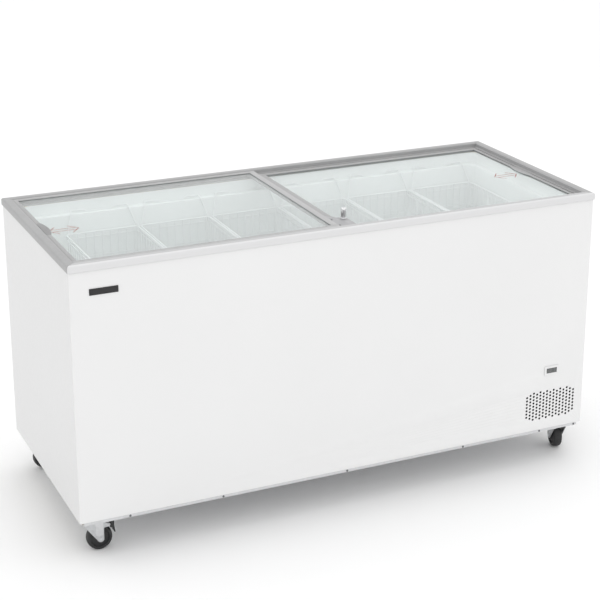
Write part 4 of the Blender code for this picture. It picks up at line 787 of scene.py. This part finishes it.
# ---- baskets --------------------------------------------------------------------------------------
def wire_basket_mesh():
    """Welded wire basket about its rim level over its middle, with two hanger loops."""
    bm = bmesh.new()
    low, high = BASKETS[0]
    half_x, half_y = (high.x - low.x) / 2, 0.2455
    depth, taper = 0.215, 0.006
    rim, thin = 0.0022, 0.0013

    def ring(z, inset, radius, wire, sides=8):
        shrink = inset + taper * (-z / depth)
        points = [Vector((x, y, z)) for x, y in rounded(half_x - shrink, half_y - shrink, radius, 4)]
        tube(bm, points, wire, sides, closed=True)

    ring(-rim, rim, 0.010, rim)
    ring(-0.016, rim, 0.010, 0.0015, 6)
    for z in (-0.070, -0.125, -0.180):
        ring(z, rim + thin, 0.009, thin, 6)
    bottom = -depth + 2 * thin
    for axis, half, other, count in (("y", half_y, half_x, 22), ("x", half_x, half_y, 9)):
        for k in range(count):
            at = (-half + 0.012) + k * (2 * half - 0.024) / (count - 1)
            reach = other - 2 * rim
            foot = reach - taper
            path = [(-reach, 0, -rim), (-foot, 0, bottom), (foot, 0, bottom), (reach, 0, -rim)]
            path = fillet(path, 0.010, 3, closed=False)
            level = 0.0 if axis == "y" else thin * 2
            squeeze = taper / half * at
            points = []
            for p in path:
                lower = -p.z / depth
                along = at - squeeze * lower
                z = p.z + (level if p.z < bottom + 0.004 else 0)
                points.append((p.x, along, z) if axis == "y" else (along, p.x, z))
            tube(bm, points, thin, 6)
    knee_y = -FACE_Y - 0.050 - 0.002 - 0.0015
    top_y = -FACE_Y - 0.043
    dip, shoulder = 0.0513, 0.0578
    foot_x = half_x - 0.005
    for side in (-1, 1):
        half = [(foot_x, half_y - 0.002, -0.016), (foot_x - 0.002, half_y - 0.002, 0.004),
                (foot_x - 0.0175, knee_y, shoulder - 0.005), (foot_x - 0.0195, top_y, shoulder),
                (0.046, top_y, shoulder), (0.034, top_y, dip)]
        points = [(-x, y * side, z) for x, y, z in half] + [(x, y * side, z) for x, y, z in reversed(half)]
        tube(bm, fillet(points, 0.006, 4, closed=False), 0.0020, 8)
    bmesh.ops.recalc_face_normals(bm, faces=bm.faces[:])
    mesh = bpy.data.meshes.new("wire_basket")
    bm.to_mesh(mesh)
    bm.free()
    mesh.materials.append(LOOKS["basket_coating"])
    return mesh


def baskets():
    mesh = wire_basket_mesh()
    rim_z = TOP_Z - LEDGE_DROP - 0.049
    for k, (low, high) in enumerate(BASKETS, 1):
        at = Matrix.Translation(((low.x + high.x) / 2, 0, rim_z))
        place(f"wire_basket_{k}", mesh, f"basket_{k}", [f"basket_{k}"], 60, at)


# ---- castors --------------------------------------------------------------------------------------
def castor_frames():
    """Per corner: the swivel's place and the direction its fork trails in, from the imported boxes."""
    out = {}
    for joint in frame["joints"]:
        if joint["name"].startswith("wheel_spin_"):
            corner = joint["name"][len("wheel_spin_"):]
            axis, at = joint["axis"], joint["pos_m"]
            trail = Vector((axis[1], -axis[0], 0)).normalized()
            centre = Vector((at[0], at[1], 0)) - CASTOR_TRAIL * trail
            turn = math.atan2(trail.y, trail.x)
            out[corner] = Matrix.Translation(centre) @ Matrix.Rotation(turn, 4, "Z")
    return out


def fork_bmesh():
    trail, axle_z, outer, gap = CASTOR_TRAIL, WHEEL_R, CHEEK_OUTER, CHEEK_INNER
    crown, sheet, back, eye, arm = CROWN_TOP, 0.0025, -0.0155, 0.0088, 0.0055
    front, pivot_x = trail + eye, trail + PEDAL_REACH
    bm = bmesh.new()
    pivot_z = crown - PEDAL_DROP
    cheek = [(back, crown - 0.0005), (back, crown - 0.006), *arc(trail, axle_z, eye, 205, 345, 12),
             (front, pivot_z - arm), *arc(pivot_x, pivot_z, arm, -90, 90, 12),
             (front + 0.0045, pivot_z + arm + 0.002), (front + 0.0045, crown - 0.0005)]
    radii = [0, 0.004] + [0] * 13 + [0.003] + [0] * 13 + [0.003, 0]
    outline = [(p.x, p.y) for p in fillet(cheek, radii, 4)]
    for side in (-1, 1):
        matrix = Matrix.Translation((0, side * (outer if side > 0 else gap),
                                     0)) @ Matrix.Rotation(math.pi / 2, 4, "X")
        slab(bm, outline, 0.0, sheet, 0.0005, matrix)
        face = side * outer
        pad = fillet([(trail - 0.0135, crown - 0.004), (trail - 0.0125, axle_z + 0.012),
                      (trail - 0.003, axle_z + 0.008),
                      (trail + 0.0068, axle_z + 0.012), (trail + 0.0068, crown - 0.004)], 0.002, 3)
        matrix = Matrix.Translation((0, face, 0)) @ Matrix.Rotation(math.pi / 2, 4, "X")
        low, high = (-0.0005, 0.0) if side > 0 else (0.0, 0.0005)
        slab(bm, [(p.x, p.y) for p in pad], low, high, 0.0, matrix)
    lip = front + 0.0045
    top = fillet([(back, -outer), (lip, -outer), (lip, outer), (back, outer)], [0.010, 0.003, 0.003, 0.010],
                 5)
    slab(bm, [(p.x, p.y) for p in top], crown - 0.003, crown, 0.0008)
    for side in (-1, 1):
        at = facing((trail, side * outer, axle_z), (0, side, 0))
        lathe(bm, [(0, -0.001), (0.0058, -0.001), (0.0058, 0.0006), (0.0050, 0.0008), (0, 0.0008)], 28, at)
        ring = [(0.0044 * math.cos(math.radians(60 * k)),
                 0.0044 * math.sin(math.radians(60 * k))) for k in range(6)]
        slab(bm, ring, 0.0, 0.0026, 0.0005, at)
        lathe(bm, [(0, 0.002), (0.0022, 0.002), (0.0022, 0.0030), (0, 0.0030)], 20, at)
    return bm


def swivel_bmesh():
    """Ball race under the plate: stacked pressed rings."""
    bm = bmesh.new()
    top, low = 0.0967, 0.0892
    lathe(bm, [(0, top), (0.0200, top), (0.0203, top - 0.0012), (0.0178, top - 0.0018),
               (0.0176, top - 0.0030),
               (0.0203, top - 0.0034), (0.0205, top - 0.0050), (0.0190, top - 0.0056), (0.0188, low + 0.0010),
               (0.0170, low), (0, low)], 48)
    return bm


def wheel_bmesh():
    r, half, hub = WHEEL_R, 0.0125, 0.0152
    bm = bmesh.new()
    side = [(0.0056, hub), (0.0098, hub), (0.0104, hub - 0.0006), (0.0108, hub - 0.0022),
            (0.0150, half - 0.0020),
            (0.0205, half - 0.0028), (0.0228, half - 0.0036), (0.0236, half - 0.0036),
            (0.0246, half - 0.0012),
            (0.0256, half - 0.0002), (0.0285, half), (r - 0.0038, half - 0.0008), (r - 0.0014, half - 0.0030),
            (r - 0.0004, half - 0.0062), (r, 0.0030)]
    profile = side + [(radius, -height) for radius, height in reversed(side)]
    lathe(bm, profile + [profile[0]], 72)
    return bm


def pedal_bmesh():
    """Brake pedal about its pivot: a web between the cheeks and a wide pad down behind the wheel."""
    web_half, wide, head, start = 0.0152, CHEEK_OUTER, 0.0125, 0.0063
    foot = WHEEL_R - PEDAL_REACH + 0.0022
    web = [(-0.0030, 0.0035), (0.0060, head), (foot - 0.0040, head), (foot - 0.0040, -0.0100),
           (0.0070, -0.0105),
           (0.0035, -0.0040), (-0.0030, -0.0035)]
    pad = [(start, head), (foot + 0.0008, head), (foot, -0.0035), (foot + 0.0030, -0.0240),
           (foot + 0.0002, -0.0240),
           (foot - 0.0040, -0.0100), (start, -0.0090)]
    bm = bmesh.new()
    for outline, half in ((web, web_half), (pad, wide)):
        matrix = Matrix.Translation((0, half, 0)) @ Matrix.Rotation(math.pi / 2, 4, "X")
        slab(bm, [(p.x, p.y) for p in fillet(outline, 0.0010, 3)], 0.0, 2 * half, 0.0007, matrix)
    for k in range(4):
        z = head - 0.0035 - 0.0032 * k
        block(bm, (foot - 0.0006, -wide + 0.003, z - 0.0006), (foot + 0.0004, wide - 0.003, z + 0.0006),
              0.0003)
    return bm


def plate_bmesh(mirror):
    """Mounting plate with four bolts; local X points to the cabinet's middle."""
    bm = bmesh.new()
    outline = [(x + 0.014, y) for x, y in rounded(0.038, 0.048, 0.008, 6)]
    slab(bm, outline, 0.0970, 0.0997, 0.0006)
    for bx in (0.014 - 0.0295, 0.014 + 0.0295):
        for by in (-0.041, 0.041):
            hex_head(bm, (bx, by, 0.0967), (0, 0, -1), 0.0095, 0.0032, bx * 40)
    if mirror:
        bm.transform(Matrix.Rotation(math.pi, 4, "Z"))
    return bm


def castors():
    for corner, matrix in castor_frames().items():
        place_at = Matrix.Translation(matrix.translation)
        bm = plate_bmesh("right" in corner)
        add_mesh(bm, swivel_bmesh())
        bm.transform(place_at)
        piece(f"castor_top_{corner}", bm, "galvanised", "cabinet", [f"castor_plate_{corner}"])
        bm = fork_bmesh()
        bm.transform(matrix)
        piece(f"castor_housing_{corner}", bm, "galvanised", f"castor_{corner}", [f"castor_fork_{corner}"])
        bm = wheel_bmesh()
        bm.transform(matrix @ Matrix.Translation((CASTOR_TRAIL, 0, WHEEL_R)) @ Matrix.Rotation(math.pi / 2,
                                                                                               4, "X"))
        piece(f"castor_tyre_{corner}", bm, "tyre_rubber", f"wheel_{corner}", [f"castor_wheel_{corner}"], 30)
        if f"brake_pedal_{corner}" in NODES:
            bm = pedal_bmesh()
            pivot = matrix @ Matrix.Translation((CASTOR_TRAIL + PEDAL_REACH, 0, CROWN_TOP - PEDAL_DROP))
            bm.transform(pivot)
            piece(f"castor_brake_{corner}", bm, "black_plastic", f"pedal_{corner}", [f"brake_pedal_{corner}"])
            bm = bmesh.new()
            for side in (-1, 1):
                at = facing((CASTOR_TRAIL + PEDAL_REACH, side * CHEEK_OUTER, CROWN_TOP - PEDAL_DROP),
                            (0, side, 0))
                lathe(bm, [(0, -0.0004), (0.0046, -0.0004), (0.0046, 0.0008), (0.0034, 0.0018), (0, 0.0020)],
                      28, at)
            bm.transform(matrix)
            piece(f"castor_rivet_{corner}", bm, "galvanised", f"castor_{corner}")


# ---- front details --------------------------------------------------------------------------------
SEGMENTS = {"-": "g", "1": "bc", "8": "abcdefg"}


def thermometer():
    low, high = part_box("thermometer_bezel")
    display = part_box("thermometer_display")
    cx, cz = (low.x + high.x) / 2, (low.z + high.z) / 2
    half_x, half_z = (high.x - low.x) / 2, (high.z - low.z) / 2
    matrix = Matrix.Translation((cx, low.y + 0.0015, cz)) @ Matrix.Rotation(math.radians(90), 4, "X")
    window = [(x, y) for x, y in rounded(0.0170, 0.0075, 0.0006, 2)]
    bm = sheet_with_holes("bezel", rounded(half_x, half_z, 0.0022, 5), [window[::-1]], 0.0030, 0.0009, matrix)
    piece("thermometer_bezel_frame", bm, "white_plastic", "cabinet", ["thermometer_bezel"], 40)
    face = display[0].y
    bm = bmesh.new()
    block(bm, (cx - 0.0140, face - 0.0003, cz - 0.0052), (cx + 0.0140, face + 0.0002, cz + 0.0052), 0.0002)
    piece("thermometer_area", bm, "display_area", "cabinet")
    bm = bmesh.new()
    pen, tall, wide = 0.0007, 0.0032, 0.0030
    for k, digit in enumerate("-18"):
        x0 = cx - 0.0075 + k * 0.0055
        spots = {"a": (0, 2, wide, 0), "g": (0, 1, wide, 0), "d": (0, 0, wide, 0), "f": (0, 1, 0, 1),
                 "b": (1, 1, 0, 1), "e": (0, 0, 0, 1), "c": (1, 0, 0, 1)}
        for key in SEGMENTS[digit]:
            sx, sz, w, v = spots[key]
            x, z = x0 + sx * wide, cz - tall + sz * tall
            block(bm, (x - pen / 2, face - 0.0005, z - pen / 2),
                  (x + w + pen / 2, face - 0.0003, z + v * tall + pen / 2),
                  0.0)
    piece("thermometer_digits", bm, "display", "cabinet")


def badge():
    low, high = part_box("badge_plate")
    cx, cz = (low.x + high.x) / 2, (low.z + high.z) / 2
    half_x, half_z = (high.x - low.x) / 2, (high.z - low.z) / 2
    matrix = Matrix.Translation((cx, low.y, cz)) @ Matrix.Rotation(math.radians(90), 4, "X")
    bm = bmesh.new()
    slab(bm, rounded(half_x, half_z, 0.0012, 4), -0.0012, 0.0, 0.0004, matrix)
    piece("badge_blank", bm, "black_plastic", "cabinet", ["badge_plate"])


# ---- machine compartment --------------------------------------------------------------------------
def condenser():
    low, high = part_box("condenser")
    bm = bmesh.new()
    count = 40
    for k in range(count):
        x = low.x + 0.004 + k * (high.x - low.x - 0.008) / (count - 1)
        block(bm, (x - 0.00025, low.y + 0.003, low.z + 0.003), (x + 0.00025, high.y - 0.003, high.z - 0.003),
              0)
    for x in (low.x, high.x - 0.0015):
        block(bm, (x, low.y, low.z), (x + 0.0015, high.y, high.z), 0.0003)
    for z in (low.z, high.z - 0.0015):
        block(bm, (low.x, low.y, z), (high.x, high.y, z + 0.0015), 0.0003)
    # Black fins: painted shade behind the vent holes.
    piece("condenser_fins", bm, "condenser_black", "cabinet", ["condenser"])
    bm = bmesh.new()
    for row in (0, 1):
        y = low.y + 0.011 + 0.014 * row
        for k in range(5):
            z = low.z + 0.015 + k * 0.026
            tube(bm, [(low.x + 0.001, y, z), (high.x - 0.001, y, z)], 0.0032, 10)
    piece("condenser_tubes", bm, "condenser_black", "cabinet")


def compressor():
    x, y = 0.605, 0.030
    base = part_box("base_tray")[0].z + 0.0012
    r = 0.074
    bm = bmesh.new()
    dome = [(0, 0.176), (0.25 * r, 0.1755), (0.50 * r, 0.1715), (0.72 * r, 0.163), (0.86 * r, 0.150),
            (0.95 * r, 0.132),
            (r, 0.112), (r, 0.1055), (1.03 * r, 0.104), (1.05 * r, 0.102), (1.05 * r, 0.098),
            (1.03 * r, 0.0965),
            (r, 0.095), (r, 0.055), (0.97 * r, 0.042), (0.90 * r, 0.028), (0.78 * r, 0.017),
            (0.55 * r, 0.011),
            (0, 0.010)]
    lathe(bm, dome, 64, Matrix.Translation((x, y, base)))
    foot = fillet([(-0.090, -0.055), (0.090, -0.055), (0.090, 0.055), (-0.090, 0.055)], 0.010, 5)
    slab(bm, [(p.x + x, p.y + y) for p in foot], base + 0.010, base + 0.014, 0.0008)
    block(bm, (x + r - 0.008, y - 0.030, base + 0.054), (x + r + 0.034, y + 0.030, base + 0.092), 0.003, 3)
    for sx in (-1, 1):
        for sy in (-1, 1):
            lathe(bm, [(0, 0.0105), (0.009, 0.0105), (0.011, 0.0085), (0.009, 0.0055), (0.011, 0.0025),
                       (0.010, 0.0003),
                       (0, 0.0003)], 24, Matrix.Translation((x + sx * 0.074, y + sy * 0.041, base)))
    piece("compressor_shell", bm, "black_enamel", "cabinet", ["compressor"], 30)


def drain():
    bm = bmesh.new()
    low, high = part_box("drain_plug")
    x, y, z = (low.x + high.x) / 2, (low.y + high.y) / 2, 0.168
    lathe(bm, [(0, 0.011), (0.0030, 0.0108), (0.0045, 0.0096), (0.0042, 0.0070), (0.0040, 0.0045),
               (0.0060, 0.0034),
               (0.0175, 0.0026), (0.0189, 0.0016), (0.0189, 0.0003), (0.0126, 0.0003), (0.0122, -0.0020),
               (0.0116, -0.0022), (0.0114, -0.0050), (0.0106, -0.0080), (0, -0.0080)], 48,
          Matrix.Translation((x, y, z)))
    piece("drain_stopper", bm, "black_rubber", "drain_plug", ["drain_plug"])


def carried_over():
    """CAD nodes that stay visible get their slot's finish."""
    for name, item in NODES.items():
        look = LOOKS[NODE_LOOK[name]]
        for slot in item.material_slots:
            slot.material = look
        if not item.material_slots:
            item.data.materials.append(look)


# ---- stage ----------------------------------------------------------------------------------------
def floor():
    bm = bmesh.new()
    size = 60.0
    bm.faces.new([bm.verts.new((sx * size, sy * size, -0.0005)) for sx,
                  sy in ((-1, -1), (1, -1), (1, 1), (-1, 1))])
    mesh = bpy.data.meshes.new("studio_floor")
    bm.to_mesh(mesh)
    bm.free()
    mesh.materials.append(LOOKS["floor"])
    item = bpy.data.objects.new("studio_floor", mesh)
    bpy.context.scene.collection.objects.link(item)


def area_light(name, at, target, size, power, colour=(1, 1, 1)):
    lamp = bpy.data.lights.new(name, "AREA")
    lamp.shape = "RECTANGLE"
    lamp.size, lamp.size_y = size
    lamp.energy = power
    lamp.color = colour
    item = bpy.data.objects.new(name, lamp)
    item.location = at
    item.rotation_euler = (Vector(target) - Vector(at)).to_track_quat("-Z", "Y").to_euler()
    bpy.context.scene.collection.objects.link(item)


def studio():
    world = bpy.data.worlds.new("studio")
    world.use_nodes = True
    back = world.node_tree.nodes["Background"]
    back.inputs["Color"].default_value = (1.0, 1.0, 1.0, 1.0)
    back.inputs["Strength"].default_value = 1.06
    bpy.context.scene.world = world
    area_light("key", (-2.2, -5.0, 4.2), (0, 0, 0.4), (4.0, 3.0), 12)
    area_light("top", (0.4, 0.6, 4.5), (0, 0, 0.6), (4.5, 3.5), 20)
    bpy.context.scene.view_settings.view_transform = "Standard"


def camera():
    lens = bpy.data.cameras.new("camera")
    lens.lens = 93.97
    lens.sensor_width = 36.0
    lens.shift_y = -0.1
    lens.clip_end = 200.0
    item = bpy.data.objects.new("camera", lens)
    item.location = (-1.6997, -3.7475, 2.0199)
    item.rotation_euler = (math.radians(90 - 18.1906), 0.0, math.radians(-24.4068))
    bpy.context.scene.collection.objects.link(item)
    bpy.context.scene.camera = item


camera()
studio()
floor()
carried_over()
front_panel()
tray_screws()
rear_details()
liner()
top_frame()
lids()
lock()
baskets()
castors()
thermometer()
badge()
condenser()
compressor()
drain()

bpy.context.view_layer.update()
